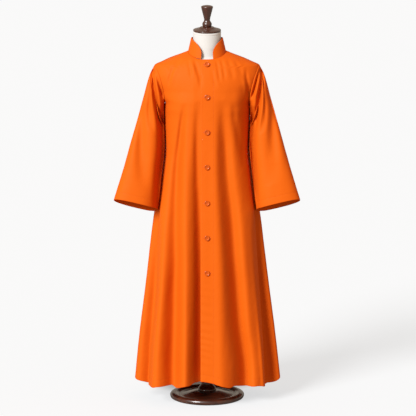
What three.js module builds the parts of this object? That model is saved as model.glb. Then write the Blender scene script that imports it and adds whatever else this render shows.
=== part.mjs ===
// A choir cassock buttoned onto a limbless dress form with a turned wooden base.
// Millimetres, +Z up. The front of the garment faces -Y and the wearer's left is +X.
// The origin is the centre of the base's flat underside.
import * as THREE from "three";

// ---------------------------------------------------------------- driving dimensions

const CLOTH = 2; // wall of one layer of cloth with its seam allowances
const COLLAR_CLOTH = 2.4; // the collar is doubled and interfaced
const SEAM_GAP = 0.3; // between any two pieces that are sewn or rest together
const SLEEVE_GAP = 0.7; // the same at the armhole, where the two edges are curved
const SIDE_SEAM_SHIFT = 0.28; // how far each panel's edge stays off the side seam, which slants a little

const HEM_HEIGHT = 88; // at the side seams
const UNDERARM_HEIGHT = 1283;
const SHOULDER_TIP_HEIGHT = 1443;
const SHOULDER_TIP_REACH = 221;
const NECK_POINT_HEIGHT = 1502; // where the shoulder seam meets the collar
const NECK_POINT_REACH = 80;
const NECKLINE_DROP = 30; // the front neckline lies this far below the neck points
const LAP = 27; // the wearer's left front runs this far past the centre line
const LAP_AT_NECK = 15; // and a little less at the neckline

const COLLAR_FULL_HEIGHT = 1558; // height of the collar's top edge behind the neck
const COLLAR_TOP_REACH = 67; // its half width there
const COLLAR_GAP_ANGLE = 18.5; // the collar's two ends stop this far from the centre, degrees

const BUTTON_HEIGHTS = [1449, 1316, 1169, 1024, 873, 725, 577];
const BUTTON_RADIUS = 11.5;

const NECK_RADIUS = 59; // the dress form's neck
const NECK_TOP_HEIGHT = 1583;
const NECK_TILT = 7; // degrees that the top of the neck leans forward
const NECK_BLEND = 5; // how softly the shoulders run into the neck
const REST_DROP = 3; // the form's shoulders lie this far below the outer face of the cloth on them
const REST_INSET = 2.2; // and this far inside it
const ARM_PLATE_REACH = 172; // the form is cut off flat here, where an arm would start
const FORM_BOTTOM_HEIGHT = 800;
const BASE_THICKNESS = 30;

// Horizontal sections of the cassock's body, from the hem to the neck points. The section is widest a
// little behind the centre, by seat. Above the underarm the half width is that of the whole section, of
// which the armhole cuts off the ends.
const BODY_SECTIONS = [
  { height: 88, halfWidth: 312, front: 222, back: 234, seat: 0, squareness: 2 },
  { height: 300, halfWidth: 287, front: 207, back: 214, seat: 0, squareness: 2 },
  { height: 560, halfWidth: 254, front: 188, back: 190, seat: 4, squareness: 2 },
  { height: 810, halfWidth: 225, front: 171, back: 168, seat: 12, squareness: 2 },
  { height: 940, halfWidth: 203, front: 161, back: 157, seat: 26, squareness: 2.15 },
  { height: 1106, halfWidth: 181, front: 150, back: 142, seat: 36, squareness: 2.35 },
  { height: 1229, halfWidth: 178.6, front: 141, back: 134, seat: 44, squareness: 2.6 },
  { height: 1262, halfWidth: 178, front: 139, back: 132, seat: 30, squareness: 2.7 },
  { height: UNDERARM_HEIGHT, halfWidth: 176, front: 137, back: 131, seat: 0, squareness: 2.7 },
  { height: 1309, halfWidth: 193, front: 136, back: 132, seat: 0, squareness: 2.25 },
  { height: 1340, halfWidth: 211, front: 132, back: 132, seat: 0, squareness: 2 },
  { height: 1370, halfWidth: 226, front: 126, back: 130, seat: 0, squareness: 2 },
  { height: 1400, halfWidth: 233, front: 118, back: 126, seat: 0, squareness: 2 },
  { height: 1430, halfWidth: 229, front: 106, back: 120, seat: 0, squareness: 2 },
  { height: 1443, halfWidth: SHOULDER_TIP_REACH, front: 100, back: 116, seat: 0, squareness: 2 },
  { height: 1457, halfWidth: 187, front: 93, back: 110, seat: 0, squareness: 2 },
  { height: 1472, halfWidth: 152, front: 82, back: 101, seat: 0, squareness: 2 },
  { height: 1487, halfWidth: 116, front: 58, back: 88, seat: 0, squareness: 2 },
  { height: NECK_POINT_HEIGHT, halfWidth: NECK_POINT_REACH, front: 32, back: 70, seat: 0, squareness: 2 },
];

// How far from the centre line the armhole seam lies at each height.
const ARMHOLE = [
  { height: UNDERARM_HEIGHT, reach: 176 },
  { height: 1309, reach: 178 },
  { height: 1340, reach: 184 },
  { height: 1380, reach: 194 },
  { height: 1420, reach: 209 },
  { height: SHOULDER_TIP_HEIGHT, reach: SHOULDER_TIP_REACH },
];

// The folds of the skirt. Angles are degrees round the body, 0 at the centre front and positive towards
// the wearer's left. A fold starts at its top height, drifts to its hem angle, and is deepest at the hem:
// positive depths stand out and negative ones are troughs.
const SKIRT_FOLDS = [
  { hemAngle: -64, topAngle: -79, topHeight: 1250, depth: -42, width: 8 },
  { hemAngle: -45, topAngle: -62, topHeight: 1050, depth: 18, width: 8 },
  { hemAngle: -33, topAngle: -54, topHeight: 1150, depth: -22, width: 6 },
  { hemAngle: -21, topAngle: -33, topHeight: 1050, depth: 19, width: 7.5 },
  { hemAngle: -7.5, topAngle: -18, topHeight: 1060, depth: -42, width: 6 },
  { hemAngle: 0.5, topAngle: -4, topHeight: 500, depth: -14, width: 5 },
  { hemAngle: 15, topAngle: 7, topHeight: 950, depth: 18, width: 7 },
  { hemAngle: 23.5, topAngle: 13, topHeight: 1120, depth: -36, width: 5.5 },
  { hemAngle: 42, topAngle: 45, topHeight: 950, depth: 18, width: 11 },
  { hemAngle: 64, topAngle: 79, topHeight: 1250, depth: -44, width: 8 },
  { hemAngle: 90, topAngle: 92, topHeight: 700, depth: 5, width: 12 },
  { hemAngle: 111, topAngle: 106, topHeight: 980, depth: -24, width: 8 },
  { hemAngle: 126, topAngle: 121, topHeight: 900, depth: 14, width: 8 },
  { hemAngle: 140, topAngle: 133, topHeight: 1120, depth: -30, width: 8 },
  { hemAngle: 156, topAngle: 152, topHeight: 940, depth: 16, width: 8 },
  { hemAngle: 171, topAngle: 165, topHeight: 1040, depth: -26, width: 7.5 },
  { hemAngle: 188, topAngle: 190, topHeight: 900, depth: 16, width: 8 },
  { hemAngle: 203, topAngle: 207, topHeight: 1100, depth: -30, width: 7.5 },
  { hemAngle: 219, topAngle: 224, topHeight: 900, depth: 14, width: 8 },
  { hemAngle: 235, topAngle: 240, topHeight: 1020, depth: -26, width: 8 },
  { hemAngle: 252, topAngle: 254, topHeight: 860, depth: 8, width: 7 },
];

// Stations of the wearer's left sleeve, from just below the armhole to the cuff: the section's outer
// and inner ends, the depth of its centre, its half depth from front to back, and how far it is
// tipped forward. The sleeve on the other side is its mirror image.
const SLEEVE_STATIONS = [
  { along: 46, outerX: 237, outerZ: 1402, innerX: 180, innerZ: 1268, centreY: -3, halfDepth: 73, tip: 2 },
  { along: 135, outerX: 259, outerZ: 1302, innerX: 180.2, innerZ: 1222, centreY: -12, halfDepth: 66, tip: 6 },
  { along: 275, outerX: 301, outerZ: 1158, innerX: 179, innerZ: 1100, centreY: -34, halfDepth: 60, tip: 12 },
  { along: 410, outerX: 342, outerZ: 1027, innerX: 190, innerZ: 969, centreY: -52, halfDepth: 58, tip: 16 },
  { along: 500, outerX: 372, outerZ: 939, innerX: 198, innerZ: 890, centreY: -62, halfDepth: 58, tip: 18 },
  { along: 565, outerX: 394, outerZ: 875, innerX: 208, innerZ: 828, centreY: -67, halfDepth: 59, tip: 19 },
];
const SLEEVE_SQUARENESS = 2.4;

// Folds of the sleeve: angles run from its top edge (0) over the front (90) to the underarm (180).
const SLEEVE_FOLDS = [
  { startAlong: 20, endAlong: 250, startAngle: 30, endAngle: 100, depth: -11, width: 13 },
  { startAlong: 30, endAlong: 190, startAngle: 75, endAngle: 150, depth: -8, width: 12 },
  { startAlong: 180, endAlong: 480, startAngle: 48, endAngle: 96, depth: -7, width: 18 },
  { startAlong: 60, endAlong: 420, startAngle: 290, endAngle: 262, depth: -9, width: 16 },
  { startAlong: 260, endAlong: 565, startAngle: 225, endAngle: 238, depth: -6, width: 14 },
];

// The collar's top edge: it climbs round the neck from each rounded end.
const COLLAR_EDGE = [
  { angle: COLLAR_GAP_ANGLE, height: 1500 },
  { angle: 21, height: 1510 },
  { angle: 26, height: 1521 },
  { angle: 40, height: 1537 },
  { angle: 61, height: 1549 },
  { angle: 78, height: 1556.5 },
  { angle: 180, height: COLLAR_FULL_HEIGHT },
];

// Sections of the dress form below the shoulders, which follow the cassock's own sections.
const TORSO_SECTIONS = [
  { height: FORM_BOTTOM_HEIGHT, halfWidth: 152, front: 102, back: 108 },
  { height: 812, halfWidth: 160, front: 110, back: 116 },
  { height: 900, halfWidth: 158, front: 110, back: 115 },
  { height: 980, halfWidth: 146, front: 104, back: 104 },
  { height: 1060, halfWidth: 132, front: 97, back: 92 },
  { height: 1140, halfWidth: 140, front: 106, back: 98 },
  { height: 1220, halfWidth: 154, front: 122, back: 112 },
  { height: 1283, halfWidth: 163, front: 128, back: 121 },
  { height: 1330, halfWidth: 170, front: 125, back: 124 },
];

// Turned profiles, radius then height above the piece's own foot.
const BASE_PROFILE = [
  [0, 0], [150, 0], [157, 3], [160, 9], [160.5, 15], [157, 21], [149, 24.5], [139, 25],
  [129, 22], [122, 16.5], [113, 15], [92, 19], [66, 26], [48, BASE_THICKNESS], [0, BASE_THICKNESS],
];
const POLE_FOOT_PROFILE = [
  [0, 0], [38, 0], [40, 6], [37, 14], [30, 22], [25, 34], [27, 42], [24, 50], [18, 60], [17, 90],
];
const POLE_HEAD_PROFILE = [[17, -90], [18, -40], [26, -30], [30, -20], [44, -12], [46, 0], [0, 0]];
const NECK_CAP_PROFILE = [
  [0, 0], [56.5, 0], [59, 2.5], [59, 6], [54, 8.5], [44, 11.5], [37, 13], [34.5, 14],
  [31, 17], [28, 18.7], [20, 19.5], [0, 19.5],
];
const FINIAL_PROFILE = [
  [0, 0], [17.5, 0], [19.5, 4], [20.8, 11], [19.5, 16], [15, 22], [12.6, 27], [13, 32], [16, 45],
  [21, 64], [25, 80], [26, 84], [24, 87], [14, 90], [0, 91],
];
const BUTTON_PROFILE = [
  [0, 0], [4, 0], [4, 1.2], [9.8, 1.2], [BUTTON_RADIUS, 3], [9.8, 5.5], [7, 5], [5.6, 3.7], [0, 3.6],
];

// How finely the pieces are divided.
const LAP_COLUMNS = 4; // across the strip where the two fronts lap
const FRONT_COLUMNS = 18; // from there to the side seam
const BACK_COLUMNS = 34;
const SLEEVE_COLUMNS = 24;
const COLLAR_COLUMNS = 32;
const FORM_COLUMNS = 32;
const BODY_LEVELS = [
  HEM_HEIGHT, 190, 320, 450, 580, 710, 830, 940, 1040, 1130, 1205, 1255, UNDERARM_HEIGHT,
  1287, 1297, 1317, 1350, 1385, 1412, 1430, 1439, SHOULDER_TIP_HEIGHT,
];
const YOKE_ROWS = 4; // above the shoulder tips
const SLEEVE_LEVELS = [0, 22, 46, 85, 135, 190, 245, 305, 370, 435, 500, 565];

// ---------------------------------------------------------------- general helpers

const radians = THREE.MathUtils.degToRad;
const lerp = THREE.MathUtils.lerp;
const clamp01 = (value) => THREE.MathUtils.clamp(value, 0, 1);
const smoothstep = THREE.MathUtils.smoothstep;
const bell = (value) => Math.exp(-value * value);

// A smooth curve through values at rising positions, which never overshoots them.
function smoothCurve(positions, values) {
  const last = positions.length - 1;
  const slopes = positions.slice(1).map((p, i) => (values[i + 1] - values[i]) / (p - positions[i]));
  const tangents = positions.map((_, i) => {
    const before = slopes[Math.max(i - 1, 0)];
    const after = slopes[Math.min(i, last - 1)];
    return before * after <= 0 ? 0 : (2 * before * after) / (before + after);
  });
  return (position) => {
    const at = THREE.MathUtils.clamp(position, positions[0], positions[last]);
    const i = Math.min(last - 1, positions.findLastIndex((p) => p <= at));
    const span = positions[i + 1] - positions[i];
    const t = (at - positions[i]) / span;
    const [t2, t3] = [t * t, t * t * t];
    return (
      (2 * t3 - 3 * t2 + 1) * values[i] +
      (t3 - 2 * t2 + t) * span * tangents[i] +
      (3 * t2 - 2 * t3) * values[i + 1] +
      (t3 - t2) * span * tangents[i + 1]
    );
  };
}

// One smooth curve for each named column of a table whose rows rise in the column called key.
function smoothTable(rows, key) {
  const positions = rows.map((row) => row[key]);
  const columns = Object.keys(rows[0]).filter((name) => name !== key);
  const curves = columns.map((name) => [name, smoothCurve(positions, rows.map((row) => row[name]))]);
  return (position) => Object.fromEntries(curves.map(([name, curve]) => [name, curve(position)]));
}

// The outward normal of a surface point(u, v), from its neighbours.
function normalOf(point, u, v, stepU, stepV) {
  const alongU = point(u + stepU, v).sub(point(u - stepU, v));
  const alongV = point(u, v + stepV).sub(point(u, v - stepV));
  return alongU.cross(alongV).normalize();
}

// A closed solid from a grid of outer points and one of inner points, both grid[row][column].
// A tube's columns run all the way round; an open panel has side edges as well as ends.
function wallGeometry(outer, inner, isTube) {
  const rows = outer.length;
  const columns = outer[0].length;
  const positions = [...outer.flat(), ...inner.flat()].flatMap((p) => [p.x, p.y, p.z]);
  const out = (row, column) => row * columns + (column % columns);
  const inn = (row, column) => rows * columns + out(row, column);
  const triangles = [];
  const quad = (a, b, c, d) => triangles.push(a, b, c, a, c, d);
  const lastColumn = isTube ? columns : columns - 1;
  for (let row = 0; row < rows - 1; row++) {
    for (let column = 0; column < lastColumn; column++) {
      quad(out(row, column), out(row, column + 1), out(row + 1, column + 1), out(row + 1, column));
      quad(inn(row, column), inn(row + 1, column), inn(row + 1, column + 1), inn(row, column + 1));
    }
    if (!isTube) {
      quad(out(row, 0), out(row + 1, 0), inn(row + 1, 0), inn(row, 0));
      quad(out(row + 1, lastColumn), out(row, lastColumn), inn(row, lastColumn), inn(row + 1, lastColumn));
    }
  }
  for (let column = 0; column < lastColumn; column++) {
    quad(out(0, column + 1), out(0, column), inn(0, column), inn(0, column + 1));
    const top = rows - 1;
    quad(out(top, column), out(top, column + 1), inn(top, column + 1), inn(top, column));
  }
  return meshGeometry(positions, triangles);
}

function middleOf(ring) {
  return ring.reduce((sum, point) => sum.add(point), new THREE.Vector3()).divideScalar(ring.length);
}

// A closed solid from a stack of rings, capped with a fan at each end.
function stackGeometry(rings) {
  const columns = rings[0].length;
  const points = [...rings.flat(), middleOf(rings[0]), middleOf(rings.at(-1))];
  const foot = rings.length * columns;
  const at = (row, column) => row * columns + (column % columns);
  const triangles = [];
  for (let column = 0; column < columns; column++) {
    for (let row = 0; row < rings.length - 1; row++) {
      triangles.push(at(row, column), at(row, column + 1), at(row + 1, column + 1));
      triangles.push(at(row, column), at(row + 1, column + 1), at(row + 1, column));
    }
    triangles.push(foot, at(0, column + 1), at(0, column));
    triangles.push(foot + 1, at(rings.length - 1, column), at(rings.length - 1, column + 1));
  }
  return meshGeometry(points.flatMap((p) => [p.x, p.y, p.z]), triangles);
}

function meshGeometry(positions, triangles) {
  const geometry = new THREE.BufferGeometry();
  geometry.setAttribute("position", new THREE.Float32BufferAttribute(positions, 3));
  geometry.setIndex(triangles);
  geometry.computeVertexNormals();
  return geometry;
}

// A turned piece with its axis along +Z.
function turned(profile, segments) {
  const points = profile.map(([radius, height]) => new THREE.Vector2(radius, height));
  return new THREE.LatheGeometry(points, segments).rotateX(Math.PI / 2);
}

const evenly = (from, to, count) => Array.from({ length: count + 1 }, (_, i) => lerp(from, to, i / count));

// ---------------------------------------------------------------- materials

function finish(color, roughness) {
  return new THREE.MeshStandardMaterial({ color, roughness, metalness: 0 });
}
const CASSOCK_CLOTH = finish(0xf96815, 0.85);
const BUTTON_PLASTIC = finish(0xf0661a, 0.45);
const DARK_WOOD = finish(0x34150c, 0.3);
const FORM_JERSEY = finish(0xf1e9df, 0.9);

function piece(name, geometry, material) {
  const mesh = new THREE.Mesh(geometry, material);
  mesh.name = name;
  return mesh;
}

// ---------------------------------------------------------------- the cassock's body

const bodySection = smoothTable(BODY_SECTIONS, "height");
const armholeReach = smoothTable(ARMHOLE, "height");

// Degrees between two angles, the short way round.
function turnBetween(angle, other) {
  return ((((angle - other) % 360) + 540) % 360) - 180;
}

function skirtFold(angle, height) {
  return SKIRT_FOLDS.reduce((total, fold) => {
    const fall = clamp01((fold.topHeight - height) / (fold.topHeight - HEM_HEIGHT));
    const centre = lerp(fold.topAngle, fold.hemAngle, fall ** 0.6);
    return total + fold.depth * fall * bell(turnBetween(angle, centre) / fold.width);
  }, 0);
}

// The hem is level at the sides, a little higher in front, and picked up where the fronts lap.
function hemLift(angle) {
  return 8 * Math.max(0, Math.cos(radians(angle))) + 15 * bell(turnBetween(angle, -5) / 9);
}

// A point of the cassock's outer surface: angle in degrees round the body, height above the floor.
function bodyPoint(angle, height) {
  const { halfWidth, front, back, seat, squareness } = bodySection(height);
  const sine = Math.sin(radians(angle));
  const cosine = Math.cos(radians(angle));
  const depth = (1 - Math.abs(sine) ** squareness) ** (1 / squareness);
  const point = new THREE.Vector3(halfWidth * sine, (cosine > 0 ? -front - seat : back - seat) * depth, 0);
  point.setLength(point.length() + skirtFold(angle, height));
  const hemShare = 1 - smoothstep(height, HEM_HEIGHT, 420);
  return point.add(new THREE.Vector3(0, seat, height + hemShare * hemLift(angle)));
}

const bodyNormal = (angle, height) => normalOf(bodyPoint, angle, height, 0.6, 2);

// The angle at which the body's section reaches x, ignoring its folds.
function angleAt(x, height) {
  const sine = THREE.MathUtils.clamp(x / bodySection(height).halfWidth, -1, 1);
  return THREE.MathUtils.radToDeg(Math.asin(sine));
}

function armholeAngle(height) {
  if (height <= UNDERARM_HEIGHT || height >= SHOULDER_TIP_HEIGHT) return 90;
  return angleAt(armholeReach(height).reach, height);
}

// The front neckline's height: an ellipse seen from the front.
function necklineHeight(x) {
  return NECK_POINT_HEIGHT - NECKLINE_DROP * Math.sqrt(Math.max(0, 1 - (x / NECK_POINT_REACH) ** 2));
}

// A panel of the body from rows of places, each { angle, height }. The places on a side seam move off
// it by shift, and sink(point) is how far the panel lies under one that laps over it.
function bodyPanel(rows, shift, sink) {
  const outer = [];
  const inner = [];
  for (const row of rows) {
    const outerRow = [];
    const innerRow = [];
    for (const { angle, height } of row) {
      const normal = bodyNormal(angle, height);
      const point = bodyPoint(angle, height);
      if (isSideSeam(angle)) point.y += shift;
      point.addScaledVector(normal, -sink(point));
      outerRow.push(point);
      innerRow.push(point.clone().addScaledVector(normal, -CLOTH));
    }
    outer.push(outerRow);
    inner.push(innerRow);
  }
  return wallGeometry(outer, inner, false);
}

const isSideSeam = (angle) => Math.abs(Math.abs(turnBetween(angle, 0)) - 90) < 0.01;
const mirrored = (row) => row.map(({ angle, height }) => ({ angle: -angle, height })).reverse();

// Places across one front at a level below the shoulder tips. Both fronts share their places in the
// strip where they lap.
function frontRow(height) {
  const lapped = evenly(-LAP, LAP, LAP_COLUMNS).map((x) => angleAt(x, height));
  const open = evenly(lapped.at(-1), armholeAngle(height), FRONT_COLUMNS).slice(1);
  return [...lapped, ...open].map((angle) => ({ angle, height }));
}

// Above the shoulder tips the rows bend from level to the run of the neckline.
function frontYokeRow(share) {
  const tipRow = frontRow(SHOULDER_TIP_HEIGHT);
  const foot = tipRow.map(({ angle }) => SHOULDER_TIP_REACH * Math.sin(radians(angle)));
  const firstTurn = Math.asin(LAP_AT_NECK / NECK_POINT_REACH);
  const open = evenly(firstTurn, Math.PI / 2, FRONT_COLUMNS).slice(1);
  const head = [
    ...evenly(-LAP_AT_NECK, LAP_AT_NECK, LAP_COLUMNS),
    ...open.map((turn) => NECK_POINT_REACH * Math.sin(turn)),
  ];
  return foot.map((x, i) => {
    const height = lerp(SHOULDER_TIP_HEIGHT, necklineHeight(head[i]), share);
    const isSeam = i === foot.length - 1;
    return { angle: isSeam ? 90 : angleAt(lerp(x, head[i], share), height), height };
  });
}

const YOKE_SHARES = evenly(0, 1, YOKE_ROWS).slice(1);
const YOKE_LEVELS = YOKE_SHARES.map((share) => lerp(SHOULDER_TIP_HEIGHT, NECK_POINT_HEIGHT, share));
const FRONT_ROWS = [...BODY_LEVELS.map(frontRow), ...YOKE_SHARES.map(frontYokeRow)];

// The wearer's left front lies on top where the two lap.
function frontLeft() {
  return bodyPanel(FRONT_ROWS, -SIDE_SEAM_SHIFT, () => 0);
}

// The wearer's right front sinks one thickness of cloth before it runs under the left one.
function frontRight() {
  const under = (point) => (CLOTH + 2 * SEAM_GAP) * smoothstep(point.x, -LAP - 34, -LAP - 7);
  return bodyPanel(FRONT_ROWS.map(mirrored), -SIDE_SEAM_SHIFT, under);
}

function back() {
  const rows = [...BODY_LEVELS, ...YOKE_LEVELS].map((height) => {
    const reach = armholeAngle(height);
    return evenly(180 - reach, 180 + reach, BACK_COLUMNS).map((angle) => ({ angle, height }));
  });
  return bodyPanel(rows, SIDE_SEAM_SHIFT, () => 0);
}

// ---------------------------------------------------------------- sleeves

const ARMHOLE_MIDDLE = (SHOULDER_TIP_HEIGHT + UNDERARM_HEIGHT) / 2;
const ARMHOLE_HALF_HEIGHT = (SHOULDER_TIP_HEIGHT - UNDERARM_HEIGHT) / 2;
const AWAY_FROM_BODY = new THREE.Vector3(
  SHOULDER_TIP_HEIGHT - UNDERARM_HEIGHT, 0, armholeReach(UNDERARM_HEIGHT).reach - SHOULDER_TIP_REACH,
).normalize();

// A point of the armhole seam, moved off the body. Angle 0 is the shoulder tip, 90 the front and 180
// the underarm.
function armholePoint(angle) {
  const height = ARMHOLE_MIDDLE + ARMHOLE_HALF_HEIGHT * Math.cos(radians(angle));
  const side = armholeAngle(height);
  const isFront = Math.sin(radians(angle)) >= 0;
  return bodyPoint(isFront ? side : 180 - side, height).addScaledVector(AWAY_FROM_BODY, SLEEVE_GAP);
}

function stationPoint(station, angle) {
  const outerEnd = new THREE.Vector3(station.outerX, station.centreY, station.outerZ);
  const innerEnd = new THREE.Vector3(station.innerX, station.centreY, station.innerZ);
  const centre = outerEnd.clone().add(innerEnd).divideScalar(2);
  const toOuter = outerEnd.sub(centre);
  const tip = radians(station.tip);
  const toFront = new THREE.Vector3(0, -Math.cos(tip), Math.sin(tip)).multiplyScalar(station.halfDepth);
  return centre
    .addScaledVector(toOuter, squared(Math.cos(radians(angle))))
    .addScaledVector(toFront, squared(Math.sin(radians(angle))));
}

// A sine or cosine for a section with flatter sides and quicker corners than an ellipse.
const squared = (value) => Math.sign(value) * Math.abs(value) ** (2 / SLEEVE_SQUARENESS);

function sleeveFold(angle, along) {
  return SLEEVE_FOLDS.reduce((total, fold) => {
    const share = (along - fold.startAlong) / (fold.endAlong - fold.startAlong);
    const swell = Math.sin(Math.PI * clamp01(share)) ** 0.8;
    const centre = lerp(fold.startAngle, fold.endAngle, share);
    return total + fold.depth * swell * bell(turnBetween(angle, centre) / fold.width);
  }, 0);
}

// A point of the left sleeve's outer surface, a distance along it from the armhole.
function sleevePoint(angle, along) {
  const points = [armholePoint(angle), ...SLEEVE_STATIONS.map((station) => stationPoint(station, angle))];
  const positions = [0, ...SLEEVE_STATIONS.map((station) => station.along)];
  const coordinate = (axis) => smoothCurve(positions, points.map((point) => point[axis]))(along);
  return new THREE.Vector3(coordinate("x"), coordinate("y"), coordinate("z"));
}

function foldedSleevePoint(angle, along) {
  const normal = normalOf(sleevePoint, angle, Math.max(along, 6), 1, -3);
  return sleevePoint(angle, along).addScaledVector(normal, sleeveFold(angle, along));
}

// side is 1 for the wearer's left sleeve and -1 for its mirror image.
function sleeve(side) {
  const angles = evenly(0, 360, SLEEVE_COLUMNS).slice(0, -1);
  const outer = [];
  const inner = [];
  for (const along of SLEEVE_LEVELS) {
    const outerRow = angles.map((angle) => foldedSleevePoint(angle, along));
    const centre = middleOf(outerRow);
    const innerRow = outerRow.map((point, i) => {
      const inwards = point.clone().sub(centre);
      inwards.addScaledVector(AWAY_FROM_BODY, -inwards.dot(AWAY_FROM_BODY));
      const normal = normalOf(foldedSleevePoint, angles[i], Math.max(along, 6), 1, -3);
      return point.clone().addScaledVector(along === 0 ? inwards.normalize() : normal, -CLOTH);
    });
    outer.push(outerRow);
    inner.push(innerRow);
  }
  const mirror = (row) => row.map((p) => new THREE.Vector3(side * p.x, p.y, p.z));
  const order = (grid) => (side > 0 ? grid.map(mirror).reverse() : grid.map(mirror));
  return wallGeometry(order(outer), order(inner), true);
}

// ---------------------------------------------------------------- collar

const collarTop = smoothTable(COLLAR_EDGE, "angle");

// The neckline at an angle round the neck, 0 in front and 180 behind.
function necklinePoint(angle) {
  const sine = Math.sin(radians(angle));
  if (angle >= 90) {
    return bodyPoint(180 - angleAt(NECK_POINT_REACH * sine, NECK_POINT_HEIGHT), NECK_POINT_HEIGHT);
  }
  const height = necklineHeight(NECK_POINT_REACH * sine);
  return bodyPoint(angleAt(NECK_POINT_REACH * sine, height), height);
}

// A point of the collar's outer surface: it stands on the neckline and leans in to its top edge.
function collarPoint(angle, share) {
  const turn = Math.abs(turnBetween(angle, 0));
  const foot = necklinePoint(turn);
  foot.z += 2 * SEAM_GAP;
  const crown = new THREE.Vector3(Math.sin(radians(turn)), -Math.cos(radians(turn)), 0);
  crown.multiplyScalar(COLLAR_TOP_REACH).setZ(COLLAR_FULL_HEIGHT);
  const height = lerp(foot.z, collarTop(turn).height, share);
  const point = foot.lerp(crown, (height - foot.z) / (COLLAR_FULL_HEIGHT - foot.z));
  point.x *= turnBetween(angle, 0) < 0 ? -1 : 1;
  return point;
}

function collar() {
  const span = 180 - COLLAR_GAP_ANGLE;
  const eased = evenly(-1, 1, COLLAR_COLUMNS).map((t) => 180 + span * Math.sin((t * Math.PI) / 2));
  const outer = [];
  const inner = [];
  for (const share of evenly(0, 1, 3)) {
    const outerRow = eased.map((angle) => collarPoint(angle, share));
    outer.push(outerRow);
    inner.push(outerRow.map((point) => {
      const inwards = new THREE.Vector3(-point.x, -point.y, 0).normalize();
      return point.clone().addScaledVector(inwards, COLLAR_CLOTH);
    }));
  }
  return wallGeometry(outer, inner, false);
}

// ---------------------------------------------------------------- buttons

function button(name, height) {
  const mesh = piece(name, turned(BUTTON_PROFILE, 12), BUTTON_PLASTIC);
  const angle = angleAt(0, height);
  const normal = bodyNormal(angle, height);
  mesh.position.copy(bodyPoint(angle, height)).addScaledVector(normal, SEAM_GAP);
  mesh.quaternion.setFromUnitVectors(new THREE.Vector3(0, 0, 1), normal);
  return mesh;
}

// ---------------------------------------------------------------- dress form and stand

const torsoSection = smoothTable(TORSO_SECTIONS, "height");

function torsoRing(height) {
  const { halfWidth, front, back: behind } = torsoSection(height);
  return evenly(0, 360, FORM_COLUMNS).slice(0, -1).map((angle) => {
    const cosine = Math.cos(radians(angle));
    const y = -(cosine > 0 ? front : behind) * cosine;
    return new THREE.Vector3(halfWidth * Math.sin(radians(angle)), y, height);
  });
}

// How far the form's surface lies inside the cloth's outer face: the cloth rests on it along the
// shoulders, and hangs clear of it below them, round the neck and where the fronts lap.
function shoulderInset(point, height) {
  const below = 5 * smoothstep(SHOULDER_TIP_HEIGHT - height, 0, 60);
  const atNeck = 4 * smoothstep(height, NECK_POINT_HEIGHT - 25, NECK_POINT_HEIGHT);
  const underLap = point.y < 0 ? 4 * (1 - smoothstep(Math.abs(point.x), 45, 95)) : 0;
  return REST_INSET + below + atNeck + underLap;
}

// The form's shoulders are the cassock's own shoulders moved down and in, cut flat where the arms would
// be, and never slimmer than the neck that rises from them.
function shoulderRing(clothHeight) {
  return evenly(0, 360, FORM_COLUMNS).slice(0, -1).map((angle) => {
    const point = bodyPoint(angle, clothHeight).setZ(0);
    const beyondNeck = point.length() - shoulderInset(point, clothHeight) - NECK_RADIUS;
    point.setLength(NECK_RADIUS + (beyondNeck + Math.hypot(beyondNeck, NECK_BLEND)) / 2);
    point.x = THREE.MathUtils.clamp(point.x, -ARM_PLATE_REACH, ARM_PLATE_REACH);
    return point.setZ(clothHeight - REST_DROP);
  });
}

function neckRing(height, radius, tilt) {
  return evenly(0, 360, FORM_COLUMNS).slice(0, -1).map((angle) => {
    const y = -radius * Math.cos(radians(angle));
    return new THREE.Vector3(radius * Math.sin(radians(angle)), y, height + y * Math.tan(radians(tilt)));
  });
}

function formBody() {
  return stackGeometry([
    ...TORSO_SECTIONS.map(({ height }) => torsoRing(height)),
    ...[1385, 1412, 1430, SHOULDER_TIP_HEIGHT, ...YOKE_LEVELS].map(shoulderRing),
    neckRing(1518, NECK_RADIUS + 0.5, 0),
    neckRing(1550, NECK_RADIUS, NECK_TILT / 2),
    neckRing(NECK_TOP_HEIGHT - 3, NECK_RADIUS, NECK_TILT),
    neckRing(NECK_TOP_HEIGHT, NECK_RADIUS - 3, NECK_TILT),
  ]);
}

function pole() {
  const foot = BASE_THICKNESS + SEAM_GAP;
  const length = FORM_BOTTOM_HEIGHT - SEAM_GAP - foot;
  const head = POLE_HEAD_PROFILE.map(([radius, height]) => [radius, length + height]);
  return turned([...POLE_FOOT_PROFILE, ...head], 16).translate(0, 0, foot);
}

function neckTop() {
  const group = new THREE.Group();
  group.position.set(0, 0, NECK_TOP_HEIGHT);
  group.rotation.x = radians(NECK_TILT);
  const cap = piece("neck_cap", turned(NECK_CAP_PROFILE, 28), DARK_WOOD);
  cap.position.z = SEAM_GAP;
  const finial = piece("finial", turned(FINIAL_PROFILE, 16), DARK_WOOD);
  finial.position.z = 2 * SEAM_GAP + NECK_CAP_PROFILE.at(-1)[1];
  return group.add(cap, finial);
}

// ---------------------------------------------------------------- the whole object

const cassock = new THREE.Group();
cassock.add(
  piece("front_left", frontLeft(), CASSOCK_CLOTH),
  piece("front_right", frontRight(), CASSOCK_CLOTH),
  piece("back", back(), CASSOCK_CLOTH),
  piece("sleeve_left", sleeve(1), CASSOCK_CLOTH),
  piece("sleeve_right", sleeve(-1), CASSOCK_CLOTH),
  piece("collar", collar(), CASSOCK_CLOTH),
  ...BUTTON_HEIGHTS.map((height, i) => button(`button_${i + 1}`, height)),
);

const dressForm = new THREE.Group();
dressForm.add(
  piece("form_body", formBody(), FORM_JERSEY),
  piece("pole", pole(), DARK_WOOD),
  piece("base", turned(BASE_PROFILE, 36), DARK_WOOD),
  neckTop(),
);

const root = new THREE.Group();
root.add(dressForm, cassock);

export default root;
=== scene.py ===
"""A choir cassock on a limbless dress form. Metres, +Z up, the garment's front faces -Y.

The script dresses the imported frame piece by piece, in the order in which the object is put together.
Tables are in millimetres and degrees, as a pattern cutter or turner would write them.
"""

import math

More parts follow.
